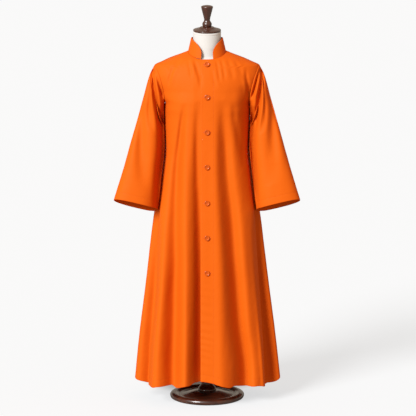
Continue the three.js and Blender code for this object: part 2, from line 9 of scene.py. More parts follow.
import bpy
import numpy as np
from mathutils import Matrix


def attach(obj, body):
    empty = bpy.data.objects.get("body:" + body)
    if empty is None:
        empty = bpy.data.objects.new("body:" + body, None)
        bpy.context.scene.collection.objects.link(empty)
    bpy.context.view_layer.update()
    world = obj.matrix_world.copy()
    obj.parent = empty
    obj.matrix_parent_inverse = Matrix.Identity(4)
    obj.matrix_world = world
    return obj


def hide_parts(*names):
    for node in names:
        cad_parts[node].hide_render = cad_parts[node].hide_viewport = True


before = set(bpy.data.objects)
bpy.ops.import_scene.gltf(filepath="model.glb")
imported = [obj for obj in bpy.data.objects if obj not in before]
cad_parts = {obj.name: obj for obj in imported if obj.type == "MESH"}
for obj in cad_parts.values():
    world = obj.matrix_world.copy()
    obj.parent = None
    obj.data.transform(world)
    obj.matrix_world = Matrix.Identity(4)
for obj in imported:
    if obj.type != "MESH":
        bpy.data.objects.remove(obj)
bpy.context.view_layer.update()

# ---------------------------------------------------------------- camera
# A long lens nine metres away, two and a quarter metres up and looking nine degrees down, so that the
# tall figure keeps its proportions and the insides of the cuffs just show.
LOOK_DOWN, LENS_LENGTH, SENSOR_WIDTH = 9, 184.67, 36
CAMERA_DISTANCE, CAMERA_ASIDE, AIM_HEIGHT = 9.0, 0.0040, 0.82849


def add_object(name, data):
    made = bpy.data.objects.new(name, data)
    bpy.context.scene.collection.objects.link(made)
    return made


lens = bpy.data.cameras.new("camera")
lens.sensor_width, lens.lens = SENSOR_WIDTH, LENS_LENGTH
camera = add_object("camera", lens)
camera_height = AIM_HEIGHT + CAMERA_DISTANCE * math.tan(math.radians(LOOK_DOWN))
camera.location = (CAMERA_ASIDE, -CAMERA_DISTANCE, camera_height)
camera.rotation_euler = (math.radians(90 - LOOK_DOWN), 0, 0)
bpy.context.scene.camera = camera

# ---------------------------------------------------------------- the two fronts and the back
# Flared panels of mid-weight orange twill, sewn at the sides and shoulders and hemmed with a turning
# 30 mm deep. The wearer's left front laps 54 mm over the right one and its facing is stitched down.
MM = 0.001
CLOTH = 1.3  # wall of one layer of cloth as it shows at an edge
TURNING = 1.1  # what a hem or facing adds to it
HEM_HEIGHT, UNDERARM_HEIGHT, SHOULDER_TIP_HEIGHT, NECK_POINT_HEIGHT = 88, 1283, 1443, 1502
SHOULDER_TIP_REACH, NECK_POINT_REACH, NECKLINE_DROP = 221, 80, 30
LAP, LAP_AT_NECK = 27, 15
HEM_DEPTH = 30

# height, half width, front, back, how far behind the centre it is widest, squareness
BODY_SECTIONS = [
    (88, 312, 222, 234, 0, 2),
    (300, 289.5, 207, 214, 0, 2),
    (560, 257, 188, 190, 4, 2),
    (810, 226.5, 171, 168, 12, 2),
    (940, 203, 161, 157, 26, 2.15),
    (1106, 182.2, 150, 142, 38, 2.3),
    (1229, 182, 141, 134, 45, 2.5),
    (1262, 181.2, 139, 132, 32, 2.62),
    (1283, 178.5, 137.5, 131, 14, 2.62),
    (1309, 193, 136, 132, 0, 2.25),
    (1340, 211, 132, 132, 0, 2),
    (1370, 226, 126, 130, 0, 2),
    (1400, 233, 118, 126, 0, 2),
    (1430, 229, 106, 120, 0, 2),
    (1443, 221, 100, 116, 0, 2),
    (1457, 191, 93, 110, 0, 2),
    (1472, 157, 82, 101, 0, 2),
    (1487, 119, 58, 88, 0, 2),
    (1502, 80, 32, 70, 0, 2),
]
# height, distance of the armhole seam from the centre line
ARMHOLE = [(1283, 178.5), (1309, 179.5), (1340, 184.5), (1380, 194), (1420, 209), (1443, 221)]
# folds at the sides and behind: angle at the hem and at the top, height of the top, depth, width
SIDE_FOLDS = [
    (-64, -83, 1250, -36, 6.5),
    (64, 82, 1250, -40, 7),
    (90, 92, 700, 5, 12),
    (111, 106, 980, -24, 8),
    (126, 121, 900, 14, 8),
    (140, 133, 1120, -30, 8),
    (156, 152, 940, 16, 8),
    (171, 165, 1040, -26, 7.5),
    (188, 190, 900, 16, 8),
    (203, 207, 1100, -30, 7.5),
    (219, 224, 900, 14, 8),
    (235, 240, 1020, -26, 8),
    (252, 254, 860, 8, 7),
]
# folds in front, each from the hem up: height, x, how far in it lies, its width on the left and right
FRONT_FOLDS = [
    [
        (88, -140, 62, 38, 26), (166, -140, 62, 38, 26), (334, -135, 57, 37, 24), (503, -132, 52, 35, 23),
        (630, -128, 44, 33, 22), (757, -130, 36, 30, 20), (860, -130, 32, 25, 19), (922, -128, 31, 23, 18),
        (985, -126, 31, 21, 17), (1047, -122, 27, 19, 16), (1110, -115, 24, 16, 14), (1195, -107, 17, 13, 13),
        (1240, -101, 10, 13, 13), (1290, -95, 0, 13, 12),
    ],
    [
        (88, -228, -22, 32, 32), (334, -212, -22, 30, 30), (503, -200, -20, 30, 30), (672, -193, -14, 30, 30),
        (820, -185, -8, 30, 30), (1100, -170, 0, 30, 30),
    ],
    [(88, -98, -18, 26, 26), (700, -98, -12, 26, 26), (1100, -94, -6, 24, 24), (1280, -94, 0, 24, 24)],
    [(88, 62, -6, 24, 24), (700, 50, -6, 24, 24), (1000, 38, -5, 20, 20), (1250, 34, 0, 20, 20)],
    [
        (88, 160, 74, 44, 29), (166, 158, 72, 43, 29), (250, 148, 69, 40, 31), (334, 136, 64, 37, 31),
        (503, 122, 58, 33, 31), (630, 113, 48, 32, 29), (757, 105, 44, 33, 28), (860, 96, 36, 32, 28),
        (985, 83, 28, 29, 26), (1047, 79, 26, 27, 25), (1110, 75, 24, 25, 24), (1195, 70, 15, 23, 22),
        (1237, 68, 10, 23, 22), (1280, 66, 5, 26, 24), (1305, 66, 0, 26, 24),
    ],
    [
        (88, 263, 58, 12, 62), (166, 258, 54, 12, 62), (250, 250, 49, 12, 60), (377, 236, 42, 12, 56),
        (503, 224, 36, 12, 52), (630, 213, 22, 12, 50), (757, 204, 8, 12, 50), (820, 200, 0, 12, 50),
    ],
    [
        (88, 226, 22, 44, 24), (334, 208, 19, 40, 24), (503, 199, 14, 36, 22), (700, 192, 5, 32, 20),
        (820, 190, 0, 32, 20),
    ],
    [
        (1000, 163, 0, 28, 30), (1150, 163, 9, 28, 30), (1230, 165, 13, 28, 30), (1305, 168, 13, 27, 30),
        (1340, 170, 6, 26, 30), (1372, 172, 0, 26, 30),
    ],
    [
        (1000, 160, 0, 16, 20), (1087, 148, 4, 16, 20), (1150, 132, 6, 14, 18), (1237, 114, 5, 12, 14),
        (1300, 112, 0, 12, 14),
    ],
]
# the right front's outermost fold falls in to a sharp crease behind the one beside it
SHARP_FOLD = [
    (88, -252, 50, 30, 12), (166, -248, 48, 30, 12), (250, -243, 47, 30, 12), (334, -234, 47, 29, 12),
    (419, -226, 48, 28, 12), (503, -219, 44, 28, 12), (630, -213, 30, 28, 12), (757, -206, 9, 28, 12),
    (820, -204, 0, 28, 12),
]
SHARPNESS = 1.15
# the right front falls away behind the lap, in the same columns
RIGHT_FRONT_FOLD = [
    (88, -14, 74, 50, 22), (166, -14, 73, 48, 22), (250, -16, 68, 44, 22), (503, -18, 58, 39, 22),
    (630, -21, 52, 37, 22), (757, -26, 45, 33, 22), (860, -30, 38, 30, 22), (985, -37, 27, 24, 24),
    (1110, -40, 18, 18, 24), (1200, -40, 11, 18, 24), (1240, -38, 8, 20, 24), (1283, -34, 3, 22, 22),
    (1302, -34, 0, 22, 22),
]
# how much higher or lower than level the hem of each front hangs: x, rise
RIGHT_HEM = [
    (-312, 0), (-296, -4), (-270, -11), (-250, -17), (-235, -13), (-215, -8), (-190, -7.5), (-150, -8),
    (-133, -19), (-120, -12), (-108, -3), (-95, 1), (-70, -3), (-55, -1), (-36, -6), (-27, -5), (-12, 2),
    (4, 9), (30, 9),
]
LEFT_HEM = [
    (-30, 8.5), (0, 11), (26, 12), (38, 9), (50, 7), (63, 3), (75, 0), (100, -7), (113, -3), (125, -6),
    (137, -11.5), (160, -17), (187, -15), (212, -13), (237, -16), (262, -24), (287, -20), (312, -12),
]
LEVEL_HEIGHT = 420  # the rise and fall of the hem has died away by this height


def smoothstep(value, low, high):
    """Rises from 0 to 1 between low and high."""
    t = np.clip((value - low) / (high - low), 0, 1)
    return t * t * (3 - 2 * t)


def mix(a, b, share):
    return a + (b - a) * share


def smooth_curve(rows):
    """A curve through rows of values whose first column rises, which never overshoots a row."""
    rows = np.array(rows, float)
    at, values = rows[:, 0], rows[:, 1:]
    slopes = np.diff(values, axis=0) / np.diff(at)[:, None]
    before, after = np.vstack([slopes[:1], slopes]), np.vstack([slopes, slopes[-1:]])
    rising = before * after > 0
    tangents = np.where(rising, 2 * before * after / np.where(rising, before + after, 1), 0)

    def curve(position):
        position = np.clip(np.asarray(position, float), at[0], at[-1])
        i = np.clip(np.searchsorted(at, position, side="right") - 1, 0, len(at) - 2)
        span = at[i + 1] - at[i]
        t, span = ((position - at[i]) / span)[..., None], span[..., None]
        return (
            (2 * t**3 - 3 * t**2 + 1) * values[i]
            + (t**3 - 2 * t**2 + t) * span * tangents[i]
            + (3 * t**2 - 2 * t**3) * values[i + 1]
            + (t**3 - t**2) * span * tangents[i + 1]
        )

    return curve


body_section = smooth_curve(BODY_SECTIONS)
armhole_reach = smooth_curve(ARMHOLE)


def turn_between(angle, other):
    return (angle - other + 180) % 360 - 180


def bell(value):
    return np.exp(-value * value)


def skirt_fold(angle, height):
    """How far out the folds at the sides and behind stand; each dies away up to its own top."""
    total = np.zeros(np.broadcast(angle, height).shape)
    for hem_angle, top_angle, top_height, depth, width in SIDE_FOLDS:
        fall = np.clip((top_height - height) / (top_height - HEM_HEIGHT), 0, 1)
        centre = mix(top_angle, hem_angle, fall**0.6)
        total = total + depth * fall * bell(turn_between(angle, centre) / width)
    return total


def front_fold(x, height, rows, sharpness=2.0):
    """How far in a fold lies. Below 2, its left side comes to a crease instead of a rounded bottom."""
    centre, depth, left, right = np.moveaxis(smooth_curve(rows)(height), -1, 0)
    away = abs(x - centre) / np.where(x < centre, left, right)
    return depth * np.exp(-(away ** np.where(x < centre, sharpness, 2.0)))


def hem_lift(angle):
    """The whole hem rises a little in front, and more at the lap, where the facing stiffens it."""
    return 8 * np.clip(np.cos(np.radians(angle)), 0, 1) + 15 * bell(turn_between(angle, -5) / 9)


def body_surface(angle, height):
    """Points of the cassock's outer face, by degrees round the body and height above the floor."""
    half_width, front, back, seat, squareness = np.moveaxis(body_section(height), -1, 0)
    sine, cosine = np.sin(np.radians(angle)), np.cos(np.radians(angle))
    depth = np.clip(1 - abs(sine) ** squareness, 0, 1) ** (1 / squareness)
    x, y = half_width * sine, np.where(cosine > 0, -front - seat, back - seat) * depth
    grown = 1 + skirt_fold(angle, height) / np.hypot(x, y)
    lift = (1 - smoothstep(height, HEM_HEIGHT, LEVEL_HEIGHT)) * hem_lift(angle)
    return np.stack([x * grown, y * grown + seat, height + lift], -1)


def angle_at(x, height):
    return np.degrees(np.arcsin(np.clip(x / body_section(height)[..., 0], -1, 1)))


def armhole_angle(height):
    inside = (height > UNDERARM_HEIGHT) & (height < SHOULDER_TIP_HEIGHT)
    return np.where(inside, angle_at(armhole_reach(height)[..., 0], height), 90.0)


def neckline_height(x):
    return NECK_POINT_HEIGHT - NECKLINE_DROP * np.sqrt(np.clip(1 - (x / NECK_POINT_REACH) ** 2, 0, 1))


def close_at_ends(count):
    """Places from 0 to 1, closer together at both ends, where the cloth turns over a seam or an edge."""
    ends = np.array([0, 0.0016, 0.004, 0.008])
    return np.concatenate([ends, np.linspace(0.0135, 1 - 0.0135, count), 1 - ends[::-1]])


# heights of the rows from the hem to the shoulder tips, and the rest of the way as shares
HEM_LEVELS = HEM_HEIGHT + np.array([0, 0.7, 1.8, 4, 9, 15, 21, 26, 28.4, HEM_DEPTH, 31.6, 34])
LEVELS = np.concatenate([HEM_LEVELS, np.linspace(HEM_HEIGHT + 39, SHOULDER_TIP_HEIGHT, 238)])
YOKE_SHARES = np.array([*np.linspace(0, 1, 15)[1:-1], 0.965, 0.985, 1])
LAP_PLACES = np.array([-27, -26.3, -25.3, -23.6, -21, -17, -12, -6, 0, 6, 12, 18, 23, 25.6, 27, 28.4])
# the row of the hem's stitching, and the columns of the stitching down the lap
HEM_ROW, EDGE_STITCH_COLUMN, FACING_STITCH_COLUMN = 9, 4, 14


def front_places():
    """Angle and height of each place of the left front, row by row from the hem to the neckline."""
    t = close_at_ends(104)[4:]
    across = angle_at(LAP_PLACES[None], LEVELS[:, None])
    last = across[:, -1:]
    angle = np.hstack([across, mix(last, armhole_angle(LEVELS)[:, None], t[None])])
    height = np.broadcast_to(LEVELS[:, None], angle.shape)
    foot = SHOULDER_TIP_REACH * np.sin(np.radians(angle[-1]))
    squeeze = LAP_AT_NECK / LAP
    first_turn = math.asin(LAP_PLACES[-1] * squeeze / NECK_POINT_REACH)
    rest = NECK_POINT_REACH * np.sin(mix(first_turn, math.pi / 2, t))
    head = np.concatenate([LAP_PLACES * squeeze, rest])
    share = YOKE_SHARES[:, None]
    yoke_height = mix(SHOULDER_TIP_HEIGHT, neckline_height(head)[None], share)
    yoke_angle = angle_at(mix(foot[None], head[None], share), yoke_height)
    yoke_angle[:, -1] = 90
    return np.vstack([angle, yoke_angle]), np.vstack([height, yoke_height])


def back_places():
    heights = np.concatenate([LEVELS, mix(SHOULDER_TIP_HEIGHT, NECK_POINT_HEIGHT, YOKE_SHARES)])
    reach = armhole_angle(heights)[:, None]
    angle = 180 + reach * (2 * close_at_ends(168)[None] - 1)
    return angle, np.broadcast_to(heights[:, None], angle.shape)


def grid_normals(points, wraps=False):
    """The way out at each place of a grid, which may close on itself across."""
    across = np.roll(points, -1, 1) - np.roll(points, 1, 1) if wraps else np.gradient(points, axis=1)
    normal = np.cross(across, np.gradient(points, axis=0))
    return normal / np.maximum(np.linalg.norm(normal, axis=-1, keepdims=True), 1e-9)


def run_lengths(points, axis):
    """How far each place of a grid lies from its first row or column, measured along the cloth."""
    steps = np.linalg.norm(np.diff(points, axis=axis), axis=-1)
    return np.concatenate([np.zeros_like(steps.take([0], axis)), np.cumsum(steps, axis=axis)], axis)


def edge_distances(points):
    """How far each place of a grid lies from its first and last column, its foot and its top."""
    across, up = run_lengths(points, 1), run_lengths(points, 0)
    return [across, across[:, -1:] - across, up, up[-1:] - up]


WAVES = 14


def ripples(points, across, along, seed):
    """Smooth irregular waves between -1 and 1, with their usual lengths across and along the cloth."""
    random = np.random.default_rng(seed)
    total = np.zeros(points.shape[:-1])
    for _ in range(WAVES):
        turn = random.uniform(0, math.tau)
        kx, kz = math.cos(turn) * math.tau / across, math.sin(turn) * math.tau / along
        phase = random.uniform(0, math.tau)
        total += np.sin(kx * points[..., 0] + 0.6 * kx * points[..., 1] + kz * points[..., 2] + phase)
    return total / (WAVES / 2)


def crease(points, facing, path, depth, width, ridge=0.35, fade=(0.3, 0.3)):
    """How far a crease moves the cloth in. Its path is seen from the front, in x and height, and ridge
    is how high the cloth stands beside it, on its right for a positive value."""
    flat, path = points[..., [0, 2]], np.array(path, float)
    steps = np.diff(path, axis=0)
    spans = np.linalg.norm(steps, axis=1)
    nearest, side, along = np.full(flat.shape[:-1], np.inf), 0, 0
    for i, step in enumerate(steps):
        t = np.clip(((flat - path[i]) @ step) / (step @ step), 0, 1)
        away = flat - path[i] - t[..., None] * step
        distance = np.linalg.norm(away, axis=-1)
        closer = distance < nearest
        nearest = np.where(closer, distance, nearest)
        side = np.where(closer, -np.sign(away[..., 0] * step[1] - away[..., 1] * step[0]), side)
        along = np.where(closer, (spans[:i].sum() + t * spans[i]) / spans.sum(), along)
    faded = smoothstep(along, 0, fade[0]) * smoothstep(1 - along, 0, fade[1])
    beside = abs(ridge) * bell((side * nearest - math.copysign(1.9 * width, ridge)) / (1.1 * width))
    return facing * faded * depth * (bell(nearest / width) - beside)


def rolled(edges, drop=0.8, reach=1.6):
    """How far the cloth turns down towards a seam or a turned edge."""
    return drop * sum(bell(distance / reach) for distance in edges)


# creases of the chest and of the upper back: path in x and height, depth, width, ridge
FRONT_CREASES = [
    ([(-98, 1497), (-120, 1465), (-146, 1425), (-157, 1392), (-163, 1350)], 4.2, 6.5, 0.4),
    ([(-184, 1462), (-168, 1436), (-158, 1412)], 2.2, 4.5, 0.3),
    ([(158, 1440), (166, 1396), (174, 1353), (174, 1300)], 7, 7, -0.4),
    ([(112, 1474), (146, 1414), (168, 1366)], 3, 7, 0.5),
    ([(-62, 1490), (-46, 1446), (-30, 1404), (-22, 1345)], 4, 8, -0.4),
    ([(-82, 1484), (-72, 1440), (-66, 1390)], 2.6, 7, 0.4),
    ([(36, 1478), (45, 1440), (54, 1372)], 3.2, 7.5, 0.3),
    ([(56, 1482), (66, 1440), (76, 1380)], 3.2, 7.5, 0.3),
    ([(82, 1484), (98, 1440), (114, 1380)], 2.8, 8, 0.3),
    ([(16, 1440), (26, 1400), (38, 1350)], 1.8, 8, 0.4),
]
BACK_CREASES = [
    ([(110, 1480), (134, 1440), (158, 1390)], 2.4, 8, -0.4),
    ([(-112, 1480), (-138, 1436), (-160, 1384)], 2.4, 8, 0.4),
    ([(40, 1480), (46, 1400), (38, 1320)], 1.8, 10, 0.3),
    ([(-52, 1478), (-50, 1410), (-60, 1340)], 1.8, 10, -0.3),
    ([(120, 1300), (104, 1180), (112, 1000)], 4.5, 16, 0.4),
    ([(-128, 1310), (-108, 1190), (-118, 980)], 4.5, 16, -0.4),
]


def fit(piece, slot, *cad_nodes):
    """Fixes a piece to the one body, in the place of the plain solids that it stands for."""
    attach(piece, "root")
    if cad_nodes:
        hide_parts(*cad_nodes)


def smooth_piece(name, points, faces, material, corner_uv=None):
    mesh = bpy.data.meshes.new(name)
    mesh.from_pydata((points * MM).tolist(), [], faces)
    if corner_uv is not None:
        mesh.uv_layers.new(name="lay").data.foreach_set("uv", (corner_uv * MM).ravel())
    mesh.shade_smooth()
    mesh.materials.append(material)
    return add_object(name, mesh)


def cloth_piece(name, outer, normals, wall, material, wraps=False):
    """A closed shell of cloth from the grid of its outer face and the thickness at each place. Its UV
    map is how the cloth lies flat, in metres."""
    rows, columns = outer.shape[:2]
    points = np.concatenate([outer, outer - normals * wall[..., None]]).reshape(-1, 3)
    place = np.arange(rows * columns).reshape(rows, columns)
    shown = np.concatenate([outer, outer[:, :1]], axis=1) if wraps else outer
    if wraps:
        place = np.concatenate([place, place[:, :1]], axis=1)
    width = shown.shape[1]
    flat_place = np.arange(rows * width).reshape(rows, width)
    flat = np.stack([run_lengths(shown, 1), run_lengths(shown, 0)], -1).reshape(-1, 2)
    flat = np.concatenate([flat, flat])

    def strips(grid, under):
        a, b = grid[:-1, :-1], grid[:-1, 1:]
        c, d = grid[1:, 1:], grid[1:, :-1]
        quads = [np.stack([a, b, c, d], -1), np.stack([a, d, c, b], -1) + under]
        rims = [(grid[0, 1:], grid[0, :-1]), (grid[-1, :-1], grid[-1, 1:])]
        if not wraps:
            rims += [(grid[:-1, 0], grid[1:, 0]), (grid[1:, -1], grid[:-1, -1])]
        quads += [np.stack([p, q, q + under, p + under], -1) for p, q in rims]
        return np.concatenate([quad.reshape(-1, 4) for quad in quads])

    faces = strips(place, rows * columns)
    corners = strips(flat_place, rows * width)
    return smooth_piece(name, points, faces.tolist(), material, flat[corners].reshape(-1, 2))


def node(tree, kind, inputs=None, **settings):
    made = tree.nodes.new(kind)
    for name, value in settings.items():
        setattr(made, name, value)
    for key, value in (inputs or {}).items():
        if isinstance(value, bpy.types.NodeSocket):
            tree.links.new(value, made.inputs[key])
        else:
            made.inputs[key].default_value = value
    return made


def new_material(name, **finish):
    """A material with a Principled shader of this finish, with its tree, its shader and the place on
    the piece."""
    material = bpy.data.materials.new(name)
    material.use_nodes = True
    tree, shader = material.node_tree, material.node_tree.nodes["Principled BSDF"]
    for quality, value in finish.items():
        shader.inputs[quality.replace("_", " ")].default_value = value
    return material, tree, shader, node(tree, "ShaderNodeTexCoord").outputs["Object"]


def cloudy(tree, place, scale, detail, **more):
    """Clouds of noise, with about this many in a metre."""
    inputs = {"Vector": place, "Scale": scale, "Detail": detail, **more}
    return node(tree, "ShaderNodeTexNoise", inputs).outputs[0]


def scaled_sum(tree, value, factor, rest):
    return node(tree, "ShaderNodeMath", {0: value, 1: factor, 2: rest}, operation="MULTIPLY_ADD").outputs[0]


def product(tree, value, factor):
    return node(tree, "ShaderNodeMath", {0: value, 1: factor}, operation="MULTIPLY").outputs[0]


def tinted(tree, share, low, high):
    """A colour between two."""
    return node(tree, "ShaderNodeMix", {0: share, 6: low, 7: high}, data_type="RGBA").outputs[2]


def raised(tree, height, distance, **more):
    """Normals over a relief as deep as distance, in metres."""
    inputs = {"Strength": 1.0, "Distance": distance, "Height": height, **more}
    return node(tree, "ShaderNodeBump", inputs).outputs[0]


def node_group(name, inputs, outputs):
    group = bpy.data.node_groups.new(name, "ShaderNodeTree")
    for socket, kind in inputs.items():
        group.interface.new_socket(name=socket, in_out="INPUT", socket_type=kind)
    for socket, kind in outputs.items():
        group.interface.new_socket(name=socket, in_out="OUTPUT", socket_type=kind)
    return group, group.nodes.new("NodeGroupInput").outputs, group.nodes.new("NodeGroupOutput").inputs


# Threads of a woven or knitted cloth: two sets of ridges, each given by how many there are in a metre
# across and along the cloth.
NUMBER, PLACE, COLOUR = "NodeSocketFloat", "NodeSocketVector", "NodeSocketColor"
threads, given, put_out = node_group(
    "threads",
    {"Place": PLACE, "Ribs": PLACE, "Threads": PLACE, "Rib Share": NUMBER},
    {"Height": NUMBER},
)
waves = []
for direction in ("Ribs", "Threads"):
    runs = {0: given["Place"], 1: given[direction]}
    turns = node(threads, "ShaderNodeVectorMath", runs, operation="DOT_PRODUCT").outputs["Value"]
    phase = product(threads, turns, math.tau)
    waves.append(node(threads, "ShaderNodeMath", {0: phase}, operation="SINE").outputs[0])
blend = node(threads, "ShaderNodeMix", {0: given["Rib Share"], 2: waves[1], 3: waves[0]})
height = node(threads, "ShaderNodeMapRange", {0: blend.outputs[0], 1: -1.0, 2: 1.0})
threads.links.new(height.outputs[0], put_out["Height"])


BOUNCE_LOSS = 0.5  # how much less light the cloth hands on from fold to fold than it shows
BLACK = (0, 0, 0, 1)


def cloth_material(name, colours, ribs, thread_runs, rib_share, relief, creasing, **finish):
    """Woven or knitted cloth: threads that follow the lay of the cloth, with painted shade that darkens the
    grooves between them, a slight unevenness of the dye, and the shallow crumpling that handling leaves."""
    material, tree, shader, where = new_material(name, **finish)
    weave = node(tree, "ShaderNodeGroup", node_tree=threads)
    tree.links.new(node(tree, "ShaderNodeUVMap", uv_map="lay").outputs[0], weave.inputs["Place"])
    weave.inputs["Ribs"].default_value = (*ribs, 0)
    weave.inputs["Threads"].default_value = (*thread_runs, 0)
    weave.inputs["Rib Share"].default_value = rib_share
    dye, fibre = cloudy(tree, where, 2.6, 3.0), cloudy(tree, where, 900.0, 1.0)
    speckle = scaled_sum(tree, fibre, 0.3, -0.15)
    # painted shade: the colour is a little darker in the grooves between the threads and lighter on their
    # ridges
    tone = scaled_sum(tree, dye, 0.65, scaled_sum(tree, weave.outputs[0], 0.35, speckle))
    colour = tinted(tree, tone, *colours)
    bounced = node(tree, "ShaderNodeLightPath").outputs["Is Diffuse Ray"]
    dimmed = tinted(tree, product(tree, bounced, BOUNCE_LOSS), colour, BLACK)
    tree.links.new(dimmed, shader.inputs["Base Color"])
    crumple = cloudy(tree, where, 26.0, 4.0, Roughness=0.55, Distortion=0.4)
    crumpled = raised(tree, crumple, creasing)
    tree.links.new(raised(tree, weave.outputs[0], relief, Normal=crumpled), shader.inputs["Normal"])
    return material


# The ribs of the twill climb to the right, eleven to the centimetre.
cassock_cloth = cloth_material(
    "orange twill", ((0.91, 0.099, 0.0042, 1), (0.975, 0.122, 0.0060, 1)), (800, 800), (1500, -500), 0.75,
    relief=0.00007, creasing=0.0011, Roughness=0.55, Specular_IOR_Level=0.05,
    Sheen_Weight=0.03, Sheen_Roughness=0.35, Sheen_Tint=(1.0, 0.3, 0.08, 1),
)


def facing(normals, sign):
    """1 where the cloth faces forwards, for a sign of -1, or backwards, and 0 from edge-on round."""
    return smoothstep(sign * normals[..., 1], 0.05, 0.45)


def hemmed_wall(height):
    """The turned hem is two layers thick."""
    return CLOTH + TURNING * (1 - smoothstep(height, HEM_HEIGHT + HEM_DEPTH - 1, HEM_HEIGHT + HEM_DEPTH + 2))


def hem_groove(height):
    """The hem's stitching draws the cloth in, and the turning puckers a little below it."""
    return 0.5 * bell((height - HEM_HEIGHT - HEM_DEPTH) / 1.6)


def front_face(angle, height, is_left_front):
    """The outer face of one front and its normals, with its creases pressed in."""
    points = body_surface(angle, height)
    x = points[..., 0].copy()
    folds = FRONT_FOLDS if is_left_front else [*FRONT_FOLDS, RIGHT_FRONT_FOLD]
    back_by = sum(front_fold(x, height, rows) for rows in folds)
    if not is_left_front:
        back_by = back_by + front_fold(x, height, SHARP_FOLD, SHARPNESS)
    off_seam = 1 - smoothstep(abs(angle), 70, 88)
    hem = smooth_curve(LEFT_HEM if is_left_front else RIGHT_HEM)(x)[..., 0]
    points[..., 1] += off_seam * back_by
    points[..., 2] += off_seam * (1 - smoothstep(height, HEM_HEIGHT, LEVEL_HEIGHT)) * hem
    ahead = facing(grid_normals(points), -1)
    points[..., 1] += sum(crease(points, ahead, *row) for row in FRONT_CREASES)
    normals = grid_normals(points)
    # long waves, short ones, and the pucker of the hem
    depth = 0.8 * ripples(points, 90, 420, 3) + 0.25 * ripples(points, 45, 70, 4)
    in_hem = 1 - smoothstep(height, HEM_HEIGHT + 25, HEM_HEIGHT + 45)
    depth = depth + 0.35 * in_hem * ripples(points, 26, 60, 5) + hem_groove(height)
    if is_left_front:
        # the lap puckers low down, where its facing is stitched, and its stitching draws it in
        low = bell((height - 300) / 190) * smoothstep(x, -40, -20) * (1 - smoothstep(x, 0, 34))
        depth = depth + 0.95 * low * np.sin(height / 5.6 + 1.3 * np.sin(height / 41) + x / 21)
        depth = depth + 0.3 * bell((x - 28) / 1.6) * (height < NECK_POINT_HEIGHT - 40)
    points = points - normals * depth[..., None]
    return points, grid_normals(points)


UNDER_LAP = 2.6  # the right front steps back this far to pass under the left one


def front_panel(name, is_left_front):
    angle, height = front_places()
    if not is_left_front:
        angle, height = -angle[:, ::-1], height[:, ::-1]
    points, normals = front_face(angle, height, is_left_front)
    x = points[..., 0]
    if not is_left_front:
        points = points - normals * (UNDER_LAP * smoothstep(x, -LAP - 34, -LAP - 7))[..., None]
    points = points - normals * rolled(edge_distances(points))[..., None]
    wall = hemmed_wall(height)
    if is_left_front:
        wall = wall + 0.5 * TURNING * (1 - smoothstep(x, 25, 29))
    return cloth_piece(name, points, normals, wall, cassock_cloth), points, normals


front_left, left_face, left_normals = front_panel("front_left_cloth", True)
front_right, right_face, right_normals = front_panel("front_right_cloth", False)

angle, height = back_places()
back_face = body_surface(angle, height)
back_normals = grid_normals(back_face)
behind = facing(back_normals, 1)
depth = sum(crease(back_face, behind, *row) for row in BACK_CREASES)
depth = depth + 0.9 * ripples(back_face, 100, 420, 6) + 0.25 * ripples(back_face, 45, 70, 7)
depth = depth + hem_groove(height)
back_face = back_face - back_normals * depth[..., None]
back_normals = grid_normals(back_face)
back_face = back_face - back_normals * rolled(edge_distances(back_face))[..., None]
back = cloth_piece("back_cloth", back_face, back_normals, hemmed_wall(height), cassock_cloth)

for panel, cad_node in ((front_left, "front_left"), (front_right, "front_right"), (back, "back")):
    fit(panel, "cassock_cloth", cad_node)

# ---------------------------------------------------------------- sleeves
# Wide set-in sleeves of the same twill, one piece each with its seam at the underarm, sewn into the
# armholes and hemmed at the cuff. They hang from the shoulder tips in long creases.
SLEEVE_SQUARENESS = 2.4
SLEEVE_COLUMNS = 272
CUFF = 565
CUFF_HEM = 30
INNER_EDGE_BEHIND = 26  # the edge beside the body hangs this far behind the middle of the sleeve
# distance along the sleeve, outer end x and z, inner end x and z, centre y, half depth, forward tip
SLEEVE_STATIONS = [
    (46, 242, 1402, 179.4, 1268, -3, 73, 2),
    (135, 270, 1302, 181.2, 1222, -14, 66, 6),
    (275, 311, 1158, 179.5, 1100, -34, 60, 12),
    (410, 348.5, 1026, 193, 968, -52, 58, 16),
    (500, 375.5, 937, 201, 888, -62, 59, 18),
    (CUFF, 395.5, 872.5, 209, 826.5, -67, 61, 19),
]
# folds all round a sleeve: along at the start and end, angle at the start and end, depth, width
SLEEVE_FOLDS = [
    (20, 250, 30, 100, -11, 13),
    (30, 190, 75, 150, -8, 12),
    (180, 480, 48, 96, -7, 18),
    (60, 420, 290, 262, -9, 16),
    (260, 565, 225, 238, -6, 14),
]
# folds in the front of the wearer's left and right sleeve, as in the fronts
SLEEVE_FRONT_FOLDS = {
    1: [
        [
            (850, 212, 8, 9, 9), (920, 204, 26, 9, 10), (983, 198, 32, 9, 12), (1046, 192, 36, 8, 13),
            (1110, 188, 38, 8, 15), (1194, 188, 38, 7, 15), (1240, 188, 24, 7, 15), (1275, 187, 0, 7, 14),
        ],
        [
            (1040, 270, 0, 22, 30), (1121, 273, 9, 20, 28), (1230, 274, 18, 18, 24), (1324, 270, 16, 16, 20),
            (1400, 260, 0, 14, 18),
        ],
    ],
    -1: [
        [
            (830, -212, 8, 14, 9), (900, -208, 18, 15, 9), (985, -201, 28, 16, 9), (1046, -193, 32, 17, 8),
            (1110, -188, 33, 17, 8), (1200, -188, 33, 16, 7), (1250, -188, 20, 15, 7), (1278, -187, 0, 15, 7),
        ],
        [
            (900, -262, 0, 26, 30), (1000, -272, 8, 26, 30), (1110, -276, 12, 24, 26),
            (1220, -272, 10, 20, 24), (1290, -266, 0, 18, 20),
        ],
    ],
}
